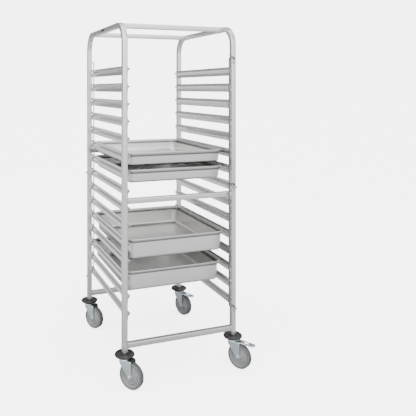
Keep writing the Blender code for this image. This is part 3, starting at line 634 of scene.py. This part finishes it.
def hinge_eye(name, x, y, z, towards_post, outwards, reach):
    """A knuckle turned about the pin, and a tab of the same height against the post's face.

    Seen from above, the tab is a rounded rectangle from the knuckle's far side to its reach.
    """
    inner = WIRE_RADIUS + EYE_CLEARANCE
    outer = inner + EYE_WALL
    outline = [(inner, 0), (outer - EYE_EDGE, 0), (outer, -EYE_EDGE), (outer, -EYE_HEIGHT + EYE_EDGE)]
    outline += [(outer - EYE_EDGE, -EYE_HEIGHT), (inner, -EYE_HEIGHT)]
    knuckle = surface(name, put(turned(outline, 32), (x, y, z)), ZINC, wrap=(True, True))
    middle = y + math.copysign(abs(towards_post) - TAB_HALF, towards_post)
    left, right = x - outwards * outer, x + outwards * reach
    plate = rounded_rectangle(abs(right - left) / 2, TAB_HALF, 0.0006, 3)
    route = straight(((left + right) / 2, middle, z - EYE_HEIGHT), ((left + right) / 2, middle, z))
    rings = route[:, None] + np.zeros((1, len(plate), 3))
    rings[..., :2] += plate
    tab = surface(f"{name}_tab", rings, ZINC, caps=True)
    return knuckle, tab


EYE_REACH = {"top": 0.0085, "middle": 0.0175, "bottom": 0.0155}
for word, outwards, corner in (("front", 1, "front_right"), ("rear", -1, "rear_left")):
    body = f"{word}_stop_bar"
    low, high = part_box(body)
    hinge = joints[f"{word}_stop_swing"]["pos_m"]
    x, y = hinge[0], hinge[1]
    leg = low.x + WIRE_RADIUS if outwards > 0 else high.x - WIRE_RADIUS
    top, bottom = high.z - WIRE_RADIUS, low.z + PIN_DROP
    half_height = hinge[2]
    outline = [(x, y, top - PIN_DROP), (x, y, top), (leg, y, top)]
    outline += [(leg, y, bottom), (x, y, bottom), (x, y, bottom - PIN_DROP)]
    fit(wire(f"{word}_stop_wire", outline), body, "stainless_tube", body)
    start = leg + outwards * WIRE_RADIUS * 0.5
    branch = [(start, y, half_height), (x, y, half_height), (x, y, half_height - PIN_DROP)]
    fit(wire(f"{word}_stop_branch", branch), body, "stainless_tube")
    face = CORNERS[corner][1] - outwards * TUBE / 2
    for place, height in (("top", top), ("middle", half_height), ("bottom", bottom)):
        eye = f"{word}_{place}_eye"
        z = height - EYE_DROP
        for made in hinge_eye(eye, x, y, z, face - y, outwards, EYE_REACH[place]):
            fit(made, "frame", "zinc_plate")
print("stop bars: 2, eyes: 6")

# %% [markdown]
# ## Pans
# A pan is pressed from one sheet.  Its section, from the lip over the flat rim, down to the
# shoulder that stacked pans rest on, and down the wall to the floor, is a path with rounded
# corners; at each point of it the plan is a rectangle with rounded corners that shrinks by the
# same inset.  Solidify gives the sheet its thickness.  Under the shoulder, a narrow line of painted
# shade for the shoulder's shadow on the wall is kept as a recess for the steel's shader to darken.

# %% Pans
PAN_RIM = 0.011
PAN_LIP = 0.004
PAN_CORNER = 0.050
PAN_SHEET = 0.0011
SHOULDER_DEPTH = 0.0165
SHOULDER_STEP = 0.0065
PAN_DRAFT = 0.0025
SHADE_LINE_HEIGHT = 0.0035  # how far the painted shade reaches down the wall from under the shoulder
SHADE_LINE_REACH = 0.0040  # and how far from the shoulder's depth a ring still gets the painted shade
WALL_BELOW = 0.0045  # how far under the shoulder the section is all wall


def thicken(made, face, thickness):
    """Turns a surface so that one of its faces looks up, and thickens it on its other side."""
    if face.normal.z < 0:
        made.data.flip_normals()
    sheet = made.modifiers.new("sheet", "SOLIDIFY")
    sheet.thickness = thickness
    sheet.offset = -1
    sheet.use_even_offset = True


def pan(name, low, high):
    """Rings of a rounded rectangle, inset and lowered along the pan's section."""
    half_x, half_y = (high.x - low.x) / 2, (high.y - low.y) / 2
    depth = high.z - low.z - PAN_SHEET
    shoulder = PAN_RIM + SHOULDER_STEP
    section = rounded(
        [
            (0.0, -PAN_LIP),
            (0.0, 0.0),
            (PAN_RIM, 0.0),
            (PAN_RIM + 0.0005, -SHOULDER_DEPTH),
            (shoulder, -SHOULDER_DEPTH - 0.0012),
            (shoulder + PAN_DRAFT, -depth),
            (PAN_RIM + 0.055, -depth),
        ],
        (0.0018, 0.0030, 0.0018, 0.0020, 0.0140),
        6,
    )
    wall = int(np.argmax(section[:, 1] < -SHOULDER_DEPTH - WALL_BELOW))
    start, rest = section[wall - 1], section[wall] - section[wall - 1]
    section = np.insert(section, wall, start + rest * SHADE_LINE_HEIGHT / abs(rest[1]), axis=0)
    # the rings under the shoulder that get the painted shade
    in_shade_line = (np.abs(section[:, 1] + SHOULDER_DEPTH) < SHADE_LINE_REACH) & (section[:, 0] > PAN_RIM)
    corner = np.maximum(PAN_CORNER - section[:, 0], 0.012)
    rings = []
    for (inset, z), radius in zip(section, corner):
        plan = rounded_rectangle(half_x - inset, half_y - inset, radius, 9)
        rings.append(np.column_stack([plan, np.full(len(plan), z)]))
    centre = ((low.x + high.x) / 2, (low.y + high.y) / 2, high.z)
    grid = np.array(rings) + np.array(centre)
    flat = grid[-1] - grid[-1].mean(axis=0)
    middle = np.array([grid[-1].mean(axis=0) + flat * share for share in (0.66, 0.33, 0.0)])
    grid = np.concatenate([grid, middle])
    recess = np.zeros(grid.shape[:2])
    recess[: len(in_shade_line)] = in_shade_line[:, None]
    made = surface(name, grid, PAN_STEEL, sharp=50, recess=recess)
    thicken(made, max(made.data.polygons, key=lambda face: face.area), PAN_SHEET)
    return made


for name in ("pan_upper", "pan_second", "pan_third", "pan_lower"):
    low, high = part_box(name)
    fit(pan(f"{name}_sheet", low, high), name, "pan_steel", name)
print("pans: 4")

# %% [markdown]
# ## Casters
# Everything on a caster is worked out about its swivel axis, with X along the way the wheel
# trails, and then put in place.  The fork is one pressed strip: up one side, over the crown and
# down the other, so it is a surface over the distance along the strip and the way across it.

# %% Caster pieces
TREAD = 0.030
FORK_SHEET = 0.003
FORK_HALF = 0.019
FORK_END = 0.0115  # radius of the half circle round the axle
FORK_BEND = 0.005
FORK_BACK, FORK_FRONT = -0.016, 0.050  # the leg's edges along the trail, at the crown
CROWN_BACK, CROWN_FRONT = -0.027, 0.030  # and the crown's edges over the swivel
FORK_SHOULDER = 0.016  # how far under the crown a leg reaches its full width
CROWN_EASE = 0.55  # the share of the crown's half over which its edges draw in
RIM_RADIUS = 0.0480  # the wheel's body, inside the tyre
TYRE_BORE = 0.0482
AXLE_BORE = 0.0045
BUMPER_BORE = 0.0092
RACE_BORE = 0.0092
RACE_RISE = 0.005  # the race's top above the crown
STEM_NECK = 0.008
CUP_HEIGHT = 0.0047
HEX_INNER = 0.0062  # from an axle bolt's middle to a flat of its head


def bumper_profile(radius, low, high, bore):
    """A soft disc: rounded rim, a shallow groove near it and a raised middle."""
    edge = (high - low) / 2
    rim = arc((radius - edge, low + edge), edge, 80, -90, 12)
    crown = [
        (bore, high - 0.0010),
        (bore + 0.006, high - 0.0004),
        (bore + 0.010, high - 0.0030),
        (radius - 0.018, high - 0.0036),
        (radius - 0.0135, high - 0.0030),
        (radius - 0.0105, high - 0.0006),
    ]
    return np.vstack([crown, rim, [(bore, low)]])


def stem_profile(low, cup_low, cup_high, cup_radius, collar_low, collar_high, neck):
    """The fixed half of the swivel: rivet, race cup with a rolled edge, neck and collar."""
    return [
        (0.0, collar_high),
        (TUBE / 2 - 0.001, collar_high),
        (TUBE / 2, collar_high - 0.001),
        (TUBE / 2, collar_low + 0.001),
        (TUBE / 2 - 0.001, collar_low),
        (neck, collar_low),
        (neck, cup_high),
        (cup_radius - 0.003, cup_high),
        (cup_radius - 0.0008, cup_high - 0.0010),
        (cup_radius, cup_high - 0.0028),
        (cup_radius - 0.0006, cup_low),
        (cup_radius - 0.0022, cup_low),
        (neck, cup_low + 0.0002),
        (neck, low + 0.004),
        (neck + 0.005, low + 0.003),
        (neck + 0.0045, low + 0.0006),
        (neck + 0.002, low),
        (0.0, low),
    ]


def tyre_profile(radius, inner):
    """A closed outline: crowned tread, shoulders, side walls with a shallow groove, bore."""
    half = TREAD / 2
    crown = 0.0012
    x = np.linspace(-half + 0.0045, half - 0.0045, 9)
    tread = np.column_stack([radius - crown * (x / half) ** 2, x])[::-1]
    upper = [
        (inner, half - 0.0015),
        (inner + 0.0030, half - 0.0006),
        (inner + 0.0045, half - 0.0012),
        (inner + 0.0060, half - 0.0003),
        (radius - 0.0060, half),
        (radius - 0.0028, half - 0.0012),
    ]
    lower = [(r, -z) for r, z in reversed(upper)]
    return np.vstack([upper, tread, lower])


HUB_RINGS = (0.0180, 0.0265, 0.0350, 0.0425)


def hub_profile(radius, bore):
    """A closed outline of the wheel's body: boss, face with pressed rings, and rim."""
    half = TREAD / 2 - 0.0015
    face = [(bore, FORK_HALF - 0.0004), (0.0085, FORK_HALF - 0.0004), (0.0095, FORK_HALF - 0.0015)]
    face += [(0.0105, half - 0.0010)]
    for ring in HUB_RINGS:
        face += [(ring - 0.0026, half - 0.0012), (ring - 0.0016, half - 0.0060)]
        face += [(ring + 0.0014, half - 0.0060), (ring + 0.0020, half - 0.0010)]
    face += [(radius - 0.0030, half - 0.0004), (radius - 0.0010, half), (radius, half - 0.0008)]
    return np.vstack([face, [(r, -z) for r, z in reversed(face)]])


def fork_grid(trail, axle_z, crown_top):
    """The fork's strip as rows along it and columns across it, in the swivel's own frame.

    Distance runs up the left leg, round a bend, over the crown and down the other leg.  Across,
    x goes from the trailing edge to the leading edge, which close in a half circle at the axle.
    """
    outer = FORK_HALF + FORK_SHEET
    bend, end = FORK_BEND, FORK_END
    legs = np.linspace(axle_z - end, crown_top - bend, 30)
    around = arc((outer - bend, crown_top - bend), bend, 0, 90, 6)[1:]
    over = np.column_stack([np.linspace(outer - bend, 0, 7)[1:], np.full(6, crown_top)])
    half = np.vstack([np.column_stack([np.full(len(legs), outer), legs]), around, over])
    y = np.concatenate([half[:, 0], -half[::-1][1:, 0]])
    z = np.concatenate([half[:, 1], half[::-1][1:, 1]])
    rise = np.clip((z - axle_z) / (crown_top - FORK_SHOULDER - axle_z), 0, 1)
    back = np.interp(rise, [0, 1], [trail - end, FORK_BACK])
    front = np.interp(rise, [0, 0.75, 1], [trail + end, FORK_FRONT, FORK_FRONT])
    below = z < axle_z
    half_chord = np.sqrt(np.clip(end**2 - (z - axle_z) ** 2, 0, None))
    back = np.where(below, trail - half_chord, back)
    front = np.where(below, trail + half_chord, front)
    inside = np.clip((outer - np.abs(y)) / (outer * CROWN_EASE), 0, 1)
    ease = inside * inside * (3 - 2 * inside)
    back = back + (CROWN_BACK - back) * ease
    front = front + (CROWN_FRONT - front) * ease
    t = np.linspace(0, 1, 9)
    x = back[:, None] * (1 - t) + front[:, None] * t
    return np.stack([x, np.broadcast_to(y[:, None], x.shape), np.broadcast_to(z[:, None], x.shape)], -1)


def fork(name, origin, heading, trail, axle_z, crown_top):
    """The pressed fork with its sheet thickness inwards and softened edges."""
    grid = put(fork_grid(trail, axle_z, crown_top), origin, heading)
    made = surface(name, grid, ZINC, wrap=(False, False), sharp=50)
    thicken(made, made.data.polygons[len(made.data.polygons) // 2], FORK_SHEET)
    edge = made.modifiers.new("edges", "BEVEL")
    edge.width = 0.0006
    edge.segments = 2
    edge.limit_method = "ANGLE"
    edge.angle_limit = math.radians(50)
    return made


def axle_bolt_outline(outer):
    """A domed hexagon head, a shank and a hexagon nut; column 2 is the hexagons' inner radius."""
    head = [(0.0, outer + 0.005), (0.0052, outer + 0.005), (0.0072, outer + 0.0038)]
    shank = [(0.0080, outer + 0.0008), (0.0080, outer), (0.0040, outer), (0.0040, -outer), (0.0080, -outer)]
    nut = [(0.0080, -outer - 0.0048), (0.0066, -outer - 0.006), (0.0, -outer - 0.006)]
    outline = np.array(head + shank + nut)
    return np.column_stack([outline, np.full(len(outline), HEX_INNER)])


def race_outline(crown_top, high):
    """The lower race: a dished ring pressed on to the crown."""
    ring = [(RACE_BORE, crown_top - 0.001), (RACE_BORE, high - 0.0006), (0.0200, high - 0.0002)]
    return ring + [(0.0240, high - 0.0010), (0.0262, high - 0.0036), (0.0270, crown_top - 0.001)]


# %% [markdown]
# ## Four casters, each turned its own way
# On a rack that has just been pushed, every caster trails where it was left.  The swivel axis and
# the wheel's middle come from the joints, so each caster is built once about its own axis and put
# down facing its way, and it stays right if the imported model's casters are turned.

# %% Casters in place
GROOVE_START = 0.0030  # how far in from the tyre's side the painted shade in a groove starts
GROOVE_FADE = 0.0035  # and how much deeper it is at its darkest


def caster_axes(corner):
    """The swivel axis on the floor, the wheel's middle, the way it trails and how far."""
    pivot = np.array([*CORNERS[corner], 0.0])
    wheel = np.array(joints[f"{corner}_wheel_roll"]["pos_m"])
    arm = (wheel - pivot) * (1, 1, 0)
    trail = float(np.linalg.norm(arm))
    return pivot, wheel, arm / trail, trail


for corner in CORNERS:
    pivot, wheel, heading, trail = caster_axes(corner)
    across = np.cross((0, 0, 1), heading)
    axle_z = float(wheel[2])

    low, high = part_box(f"{corner}_bumper")
    disc = put(turned(bumper_profile((high.x - low.x) / 2, low.z, high.z, BUMPER_BORE), 64), pivot)
    bumper = surface(f"{corner}_bumper_disc", disc, BUMPER_RUBBER, wrap=(True, True))
    fit(bumper, "frame", "bumper_rubber", f"{corner}_bumper")
    stem_low, stem_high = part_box(f"{corner}_caster_stem")
    cup_radius, cup_high = (stem_high.x - stem_low.x) / 2, low.z - SEAM
    collar = (high.z + SEAM, FOOT - SEAM)
    profile = stem_profile(stem_low.z, cup_high - CUP_HEIGHT, cup_high, cup_radius, *collar, STEM_NECK)
    stem = surface(f"{corner}_stem_turned", put(turned(profile, 40), pivot), ZINC)
    fit(stem, "frame", "zinc_plate", f"{corner}_caster_stem")

    body = f"{corner}_swivel"
    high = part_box(f"{corner}_fork")[1]
    crown_top = high.z - RACE_RISE
    made = fork(f"{corner}_fork_pressed", pivot, heading, trail, axle_z, crown_top)
    fit(made, body, "zinc_plate", f"{corner}_fork")
    ring = put(turned(race_outline(crown_top, high.z), 48), pivot)
    fit(surface(f"{corner}_race", ring, ZINC, wrap=(True, True)), body, "zinc_plate")
    bolt = turned(axle_bolt_outline(FORK_HALF + FORK_SHEET + SEAM), 48, 6)
    rod = surface(f"{corner}_axle_bolt", put(bolt, wheel, heading, -across), ZINC)
    fit(rod, body, "zinc_plate", f"{corner}_axle")

    rolling = f"{corner}_wheel"
    tyre = put(turned(tyre_profile(axle_z, TYRE_BORE), 96), wheel, heading, -across)
    tyre = surface(f"{corner}_tyre_tread", tyre, TYRE_RUBBER, wrap=(True, True))
    fit(tyre, rolling, "tyre_rubber", f"{corner}_tyre")
    hub = turned(hub_profile(RIM_RADIUS, AXLE_BORE), 72)
    # painted shade in the hub's grooves, darker the deeper into its face
    depth = np.clip((TREAD / 2 - GROOVE_START - np.abs(hub[..., 2])) / GROOVE_FADE, 0, 1)
    hub = put(hub, wheel, heading, -across)
    hub = surface(f"{corner}_hub_body", hub, HUB_PLASTIC, wrap=(True, True), sharp=30, recess=depth)
    fit(hub, rolling, "hub_plastic", f"{corner}_hub")
    print(corner, "trails", round(math.degrees(math.atan2(heading[1], heading[0])), 1), "degrees")

# %% [markdown]
# ## Brake pedals and fork guards
# The pedal is stamped: a long plate with a round tip, a slot through it and an edge turned down
# all round.  Its surface goes round the slot at every angle and, across, from the slot's edge out
# over the plate, down the turned edge and back underneath.

# %% Pedals and guards


def radius_at(outline, angles):
    """How far a closed outline lies from the origin in given directions."""
    direction = np.arctan2(outline[:, 1], outline[:, 0])
    order = np.argsort(direction)
    direction, distance = direction[order], np.linalg.norm(outline, axis=1)[order]
    return np.interp(angles, direction, distance, period=2 * math.pi)


def close_outline(half_x, half_y, radius):
    """A rounded rectangle with its points close together on the long straight sides too."""
    side = np.linspace(-1, 1, 200) * (half_x - radius)
    edges = [np.column_stack([side, np.full(len(side), sign * half_y)]) for sign in (-1, 1)]
    return np.vstack([rounded_rectangle(half_x, half_y, radius, 60)] + edges)


SLOT_LENGTH, SLOT_HALF = 0.026, 0.0055
TIP_ROUND = 0.62  # the tip's corner radius as a share of the pedal's half width


def pedal_grid(length, half_width, sheet, lip):
    """Rings round the slot: slot edge, plate, turned-down lip and back, about the slot's middle."""
    angles = np.linspace(-math.pi, math.pi, 96, endpoint=False)
    outer = radius_at(close_outline(length / 2, half_width, half_width * TIP_ROUND), angles)
    slot = radius_at(close_outline(SLOT_LENGTH / 2, SLOT_HALF, SLOT_HALF), angles)
    rows = [
        (0, 0.0, -sheet),
        (0, 0.0, -0.0006),
        (0, 0.0008, 0.0),
        (1, -0.0050, 0.0),
        (1, -0.0016, -0.0005),
        (1, -0.0003, -0.0018),
        (1, 0.0, -lip),
        (1, -sheet, -lip),
        (1, -sheet - 0.0016, -sheet),
    ]
    radii = np.array([(slot if which == 0 else outer) + inset for which, inset, _ in rows])
    z = np.array([height for _, _, height in rows])[:, None] + np.zeros(len(angles))
    return np.stack([radii * np.cos(angles), radii * np.sin(angles), z], axis=-1)


PEDAL_START, PEDAL_TIP = 0.034, 0.125  # from the swivel axis, along the trail
PEDAL_HALF, PEDAL_SHEET, PEDAL_LIP = 0.0172, 0.0022, 0.0058
PEDAL_BOW = 0.0016
for corner in ("front_right", "rear_right"):
    pivot, wheel, heading, trail = caster_axes(corner)
    length = PEDAL_TIP - PEDAL_START
    grid = pedal_grid(length, PEDAL_HALF, PEDAL_SHEET, PEDAL_LIP)
    grid[..., 2] -= (grid[..., 0] / length) ** 2 * PEDAL_BOW
    origin = pivot + heading * (PEDAL_START + PEDAL_TIP) / 2
    origin[2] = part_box(f"{corner}_brake_pedal")[1].z
    grid = put(grid, origin, heading)
    pedal = surface(f"{corner}_pedal_plate", grid, ZINC, wrap=(True, True), sharp=45)
    fit(pedal, f"{corner}_pedal", "zinc_plate", f"{corner}_brake_pedal")

SQUARENESS = 0.28


def squared(value):
    """A sine or cosine raised towards a square wave, its sign kept."""
    return np.sign(value) * np.abs(value) ** SQUARENESS


def block_grid(half):
    """A box with soft edges: a sphere's sines and cosines, squared, over rise and turn."""
    rise = np.radians(np.linspace(-90, 90, 25))[:, None]
    turn = np.radians(np.linspace(-180, 180, 48, endpoint=False))[None]
    ring = squared(np.cos(rise))
    grid = ring * squared(np.cos(turn)), ring * squared(np.sin(turn)), squared(np.sin(rise))
    return np.stack(np.broadcast_arrays(*grid), axis=-1) * half


GUARD_HALF = (0.0095, 0.0182)  # along the trail and across it
for corner in ("front_left", "rear_left"):
    low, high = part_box(f"{corner}_fork_guard")
    centre = np.array((low + high) / 2)
    arm = (centre - (*CORNERS[corner], 0.0)) * (1, 1, 0)
    heading = arm / np.linalg.norm(arm)
    block = put(block_grid((*GUARD_HALF, (high.z - low.z) / 2)), centre, heading)
    made = surface(f"{corner}_guard_block", block, BLACK_PLASTIC, sharp=60)
    fit(made, f"{corner}_swivel", "black_plastic", f"{corner}_fork_guard")
print("pedals: 2, guards: 2")

# %% [markdown]
# ## Bolts and plugs
# Dome heads hold the cross bars, a small bolt sits under each rail joint, and a black plug closes
# the hole in the middle of each rail, as painted shade for the hole's dark inside.  They are all
# the same few turned outlines.

# %% Fasteners
dome = np.vstack([arc((0, 0), 1.0, 90, 8, 9), [(1.0, 0.0)]])
HEAD_RADIUS, HEAD_HEIGHT, SHANK = 0.0065, 0.004, 0.003
UNDER_LENGTH = 0.006
UNDER_INSET = 0.018  # a rail bolt's distance from the rail's end


def dome_bolt(length):
    """A domed head above z = 0 with a shallow round recess, and its shank below."""
    head = dome * (HEAD_RADIUS, HEAD_HEIGHT)
    recess = [(0.0, HEAD_HEIGHT - 0.0016), (0.0017, HEAD_HEIGHT - 0.0015), (0.0021, HEAD_HEIGHT - 0.0002)]
    head = head[head[:, 0] > 0.0024]
    return np.vstack([recess, head, [(SHANK, 0.0), (SHANK, -length), (0.0, -length)]])


def slot_plug(place, side):
    """Rings of a long rounded outline: set in the slot, out over its edge and in to a low crown."""
    rows = ((-0.0008, -0.0014), (-0.0008, 0.0), (0.0, 0.0006), (-0.0012, 0.0014), (-0.0040, 0.0018))
    rings = []
    for inset, rise in rows:
        outline = rounded_rectangle(0.024 + inset, 0.0055 + inset, 0.0054 + inset, 6)
        rings.append(np.column_stack([outline, np.full(len(outline), rise)]))
    first = rings[0] * (0, 0, 1)
    last = rings[-1] * (0.8, 0.0, 1)
    return put(np.array([first] + rings + [last]), place, (0, 1, 0), (side, 0, 0))


bolts = 0
for word, side in (("left", -1), ("right", 1)):
    for row in ("front_middle_bar", "rear_middle_bar", "front_bottom_bar", "rear_bottom_bar"):
        name = f"{row}_{word}_bolt"
        low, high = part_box(name)
        centre = (low + high) / 2
        face = (LEFT if side < 0 else RIGHT) + side * SEAM
        length = (high.x - low.x) - HEAD_HEIGHT
        grid = put(turned(dome_bolt(length), 32), (face, centre.y, centre.z), (0, 1, 0), (side, 0, 0))
        fit(surface(f"{name}_dome", grid, ZINC), "frame", "zinc_plate", name)
        bolts += 1
    x = LEFT + TUBE / 2 if side < 0 else RIGHT - TUBE / 2
    low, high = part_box(f"{word}_top_rail")
    for y in (low.y + SPIGOT + UNDER_INSET, high.y - SPIGOT - UNDER_INSET):
        under = put(turned(dome_bolt(UNDER_LENGTH), 24), (x, y, TOP - TUBE - SEAM), (1, 0, 0), (0, 0, -1))
        fit(surface(f"{word}_rail_bolt_{bolts}", under, ZINC), "frame", "zinc_plate")
        bolts += 1
    face = LEFT if side < 0 else RIGHT
    # painted shade: the black plug stands in for the dark inside of the rail's hole
    plug = slot_plug((face, MIDDLE_Y, TOP - TUBE / 2), side)
    fit(surface(f"{word}_rail_plug", plug, BLACK_PLASTIC, wrap=(False, True)), "frame", "black_plastic")
print("bolts:", bolts, "plugs: 2")

# %% [markdown]
# ## The camera
# The rack is seen from its front left by a level camera, so every upright stays upright, and the
# lens is shifted down to take the whole of it in.  A tilted camera would show it all too, but its
# posts would lean together.

# %% Camera
EYE = (-1.045, -2.793, TOP - 0.318)  # x and y from the middle of the frame's footprint
TURN = 19.93  # degrees to the right of straight ahead
FOCAL = 1.31274038  # focal length over the sensor's width
CENTRE_X, CENTRE_Y = 0.36057692, 0.2125  # where straight ahead falls, from the picture's top left

camera = bpy.data.objects.new("camera", bpy.data.cameras.new("camera"))
camera.location = (EYE[0] + MIDDLE_X, EYE[1] + MIDDLE_Y, EYE[2])
camera.rotation_euler = (math.pi / 2, 0, -math.radians(TURN))
camera.data.sensor_width = 36.0
camera.data.lens = FOCAL * camera.data.sensor_width
camera.data.shift_x = 0.5 - CENTRE_X
camera.data.shift_y = CENTRE_Y - 0.5
bpy.context.scene.collection.objects.link(camera)
bpy.context.scene.camera = camera

# %% [markdown]
# ## A pale floor with a second face
# Polished steel shows whatever it faces, and a rack faces mostly floor.  The floor is plain and
# pale to the eye, but the steel is given a darker one, darkest straight below, so that the
# undersides of tubes and shoulders keep an edge.

# %% Floor


def floor_material():
    """Matt and pale to the eye, darker in the steel, so that undersides have something to show."""
    made, tree, shader = new_material("pale_floor")
    to_eye = node(tree, "ShaderNodeLightPath").outputs["Is Camera Ray"]
    place = node(tree, "ShaderNodeTexCoord").outputs["Object"]
    away = node(tree, "ShaderNodeVectorMath", {0: place}, operation="LENGTH").outputs["Value"]
    values = {"Value": away, "From Min": UNDER_TO, "From Max": AROUND_FROM}
    spread = node(tree, "ShaderNodeMapRange", values).outputs["Result"]
    in_steel = mixed(tree, spread, FLOOR_UNDER, FLOOR_AROUND)
    values = {"Factor": to_eye, "A": in_steel, "B": (*FLOOR_PALE, 1)}
    seen = node(tree, "ShaderNodeMix", values, data_type="RGBA").outputs["Result"]
    looks = {"Base Color": seen, "Roughness": 0.9, "Specular IOR Level": 0.1}
    glow = {"Emission Strength": multiply(tree, to_eye, FLOOR_GLOW), "Emission Color": (1, 1, 1, 1)}
    feed(tree, shader, {**looks, **glow})
    return made


FLOOR_PALE = (0.93, 0.93, 0.93)
FLOOR_UNDER = (0.36, 0.36, 0.365)  # what the steel sees close by and straight below
FLOOR_AROUND = (0.60, 0.60, 0.605)  # and farther off
UNDER_TO, AROUND_FROM = 0.5, 1.6  # metres from the rack's middle
FLOOR_GLOW = 3.9
FLOOR_REACH = 40.0
ends = (-FLOOR_REACH, FLOOR_REACH)
floor_points = np.array([[[x, y, 0.0] for y in ends] for x in ends])
floor = surface("floor", floor_points, floor_material(), wrap=(False, False))

# %% [markdown]
# ## A white studio
# The surround is white behind the rack.  To the steel it is brightest in front and bright at both
# sides, darker in the corners between and dim behind, as a studio's walls, cloths and gaps are.

# %% Surround


def surround_light():
    """White to the eye; to the steel, a bright ceiling, soft side walls and a dark band behind.

    The strength follows the direction's height through one ramp, and its compass direction
    through another, and the two are multiplied.
    """
    world = bpy.data.worlds.new("studio")
    bpy.context.scene.world = world
    world.use_nodes = True
    tree = world.node_tree
    place = node(tree, "ShaderNodeTexCoord").outputs["Generated"]
    split = node(tree, "ShaderNodeSeparateXYZ", {0: place}).outputs
    compass = node(tree, "ShaderNodeMath", {0: split["Y"], 1: split["X"]}, operation="ARCTAN2")
    by_height = ramped(tree, split["Z"], -1.0, 1.0, HEIGHTS)
    by_side = ramped(tree, compass.outputs[0], -math.pi, math.pi, SIDES)
    studio = multiply(tree, multiply(tree, by_height, by_side), STUDIO_STRENGTH)
    to_eye = node(tree, "ShaderNodeLightPath").outputs["Is Camera Ray"]
    values = {"Factor": to_eye, "A": studio, "B": BACKDROP_STRENGTH}
    seen = node(tree, "ShaderNodeMix", values, data_type="FLOAT").outputs["Result"]
    feed(tree, tree.nodes["Background"], {"Color": (1.0, 1.0, 1.0, 1), "Strength": seen})


def ramped(tree, value, low, high, stops):
    """A value from low to high, read off a grey ramp that eases from one stop to the next."""
    spread = node(tree, "ShaderNodeMapRange", {"Value": value, "From Min": low, "From Max": high})
    made = node(tree, "ShaderNodeValToRGB", {"Fac": spread.outputs["Result"]})
    ramp = made.color_ramp
    ramp.interpolation = "EASE"
    while len(ramp.elements) < len(stops):
        ramp.elements.new(0.5)
    for element, (position, grey) in zip(ramp.elements, stops):
        element.position = position
        element.color = (grey, grey, grey, 1)
    return made.outputs["Color"]


# (position, strength): straight down is 0, the horizon 0.5 and straight up 1
HEIGHTS = ((0.0, 0.2), (0.44, 0.3), (0.50, 0.85), (0.56, 1.1), (0.80, 1.2), (1.0, 1.5))
# (position, strength): the left is 0 and 1, the front 0.25, the right 0.5 and the back 0.75
SIDES = ((0.0, 1.15), (0.06, 1.15), (0.11, 0.55), (0.15, 0.55), (0.20, 1.80), (0.30, 1.80))
SIDES += ((0.36, 0.35), (0.42, 0.35), (0.50, 1.10), (0.62, 0.22), (0.88, 0.22), (1.0, 1.15))
STUDIO_STRENGTH = 2.1
BACKDROP_STRENGTH = 5.5
surround_light()

# %% [markdown]
# ## Soft lamps
# Three large lamps add what a white room lacks: a little more from the front left, which models
# the tubes, a fill on the right and a glow from above on the pans' floors.

# %% Lamps


def soft_light(name, place, aim, size, power):
    """A square lamp that faces a point: pitched down from level, then turned about the vertical."""
    lamp = bpy.data.lights.new(name, "AREA")
    lamp.size = size
    lamp.energy = power
    made = bpy.data.objects.new(name, lamp)
    made.location = place
    direction = np.array(aim) - np.array(place)
    yaw = math.atan2(direction[1], direction[0])
    pitch = math.atan2(-direction[2], math.hypot(direction[0], direction[1]))
    made.rotation_euler = (math.pi / 2 - pitch, 0, yaw - math.pi / 2)
    bpy.context.scene.collection.objects.link(made)


soft_light("key_left", (-3.2, -2.6, 3.0), (0, 0, 0.9), 2.6, 60)
soft_light("fill_right", (3.0, -2.2, 2.0), (0, 0, 0.9), 2.0, 20)
soft_light("top", (0, 0.4, 4.0), (0, 0, 1.0), 2.4, 30)
print("floor, surround and three lamps")
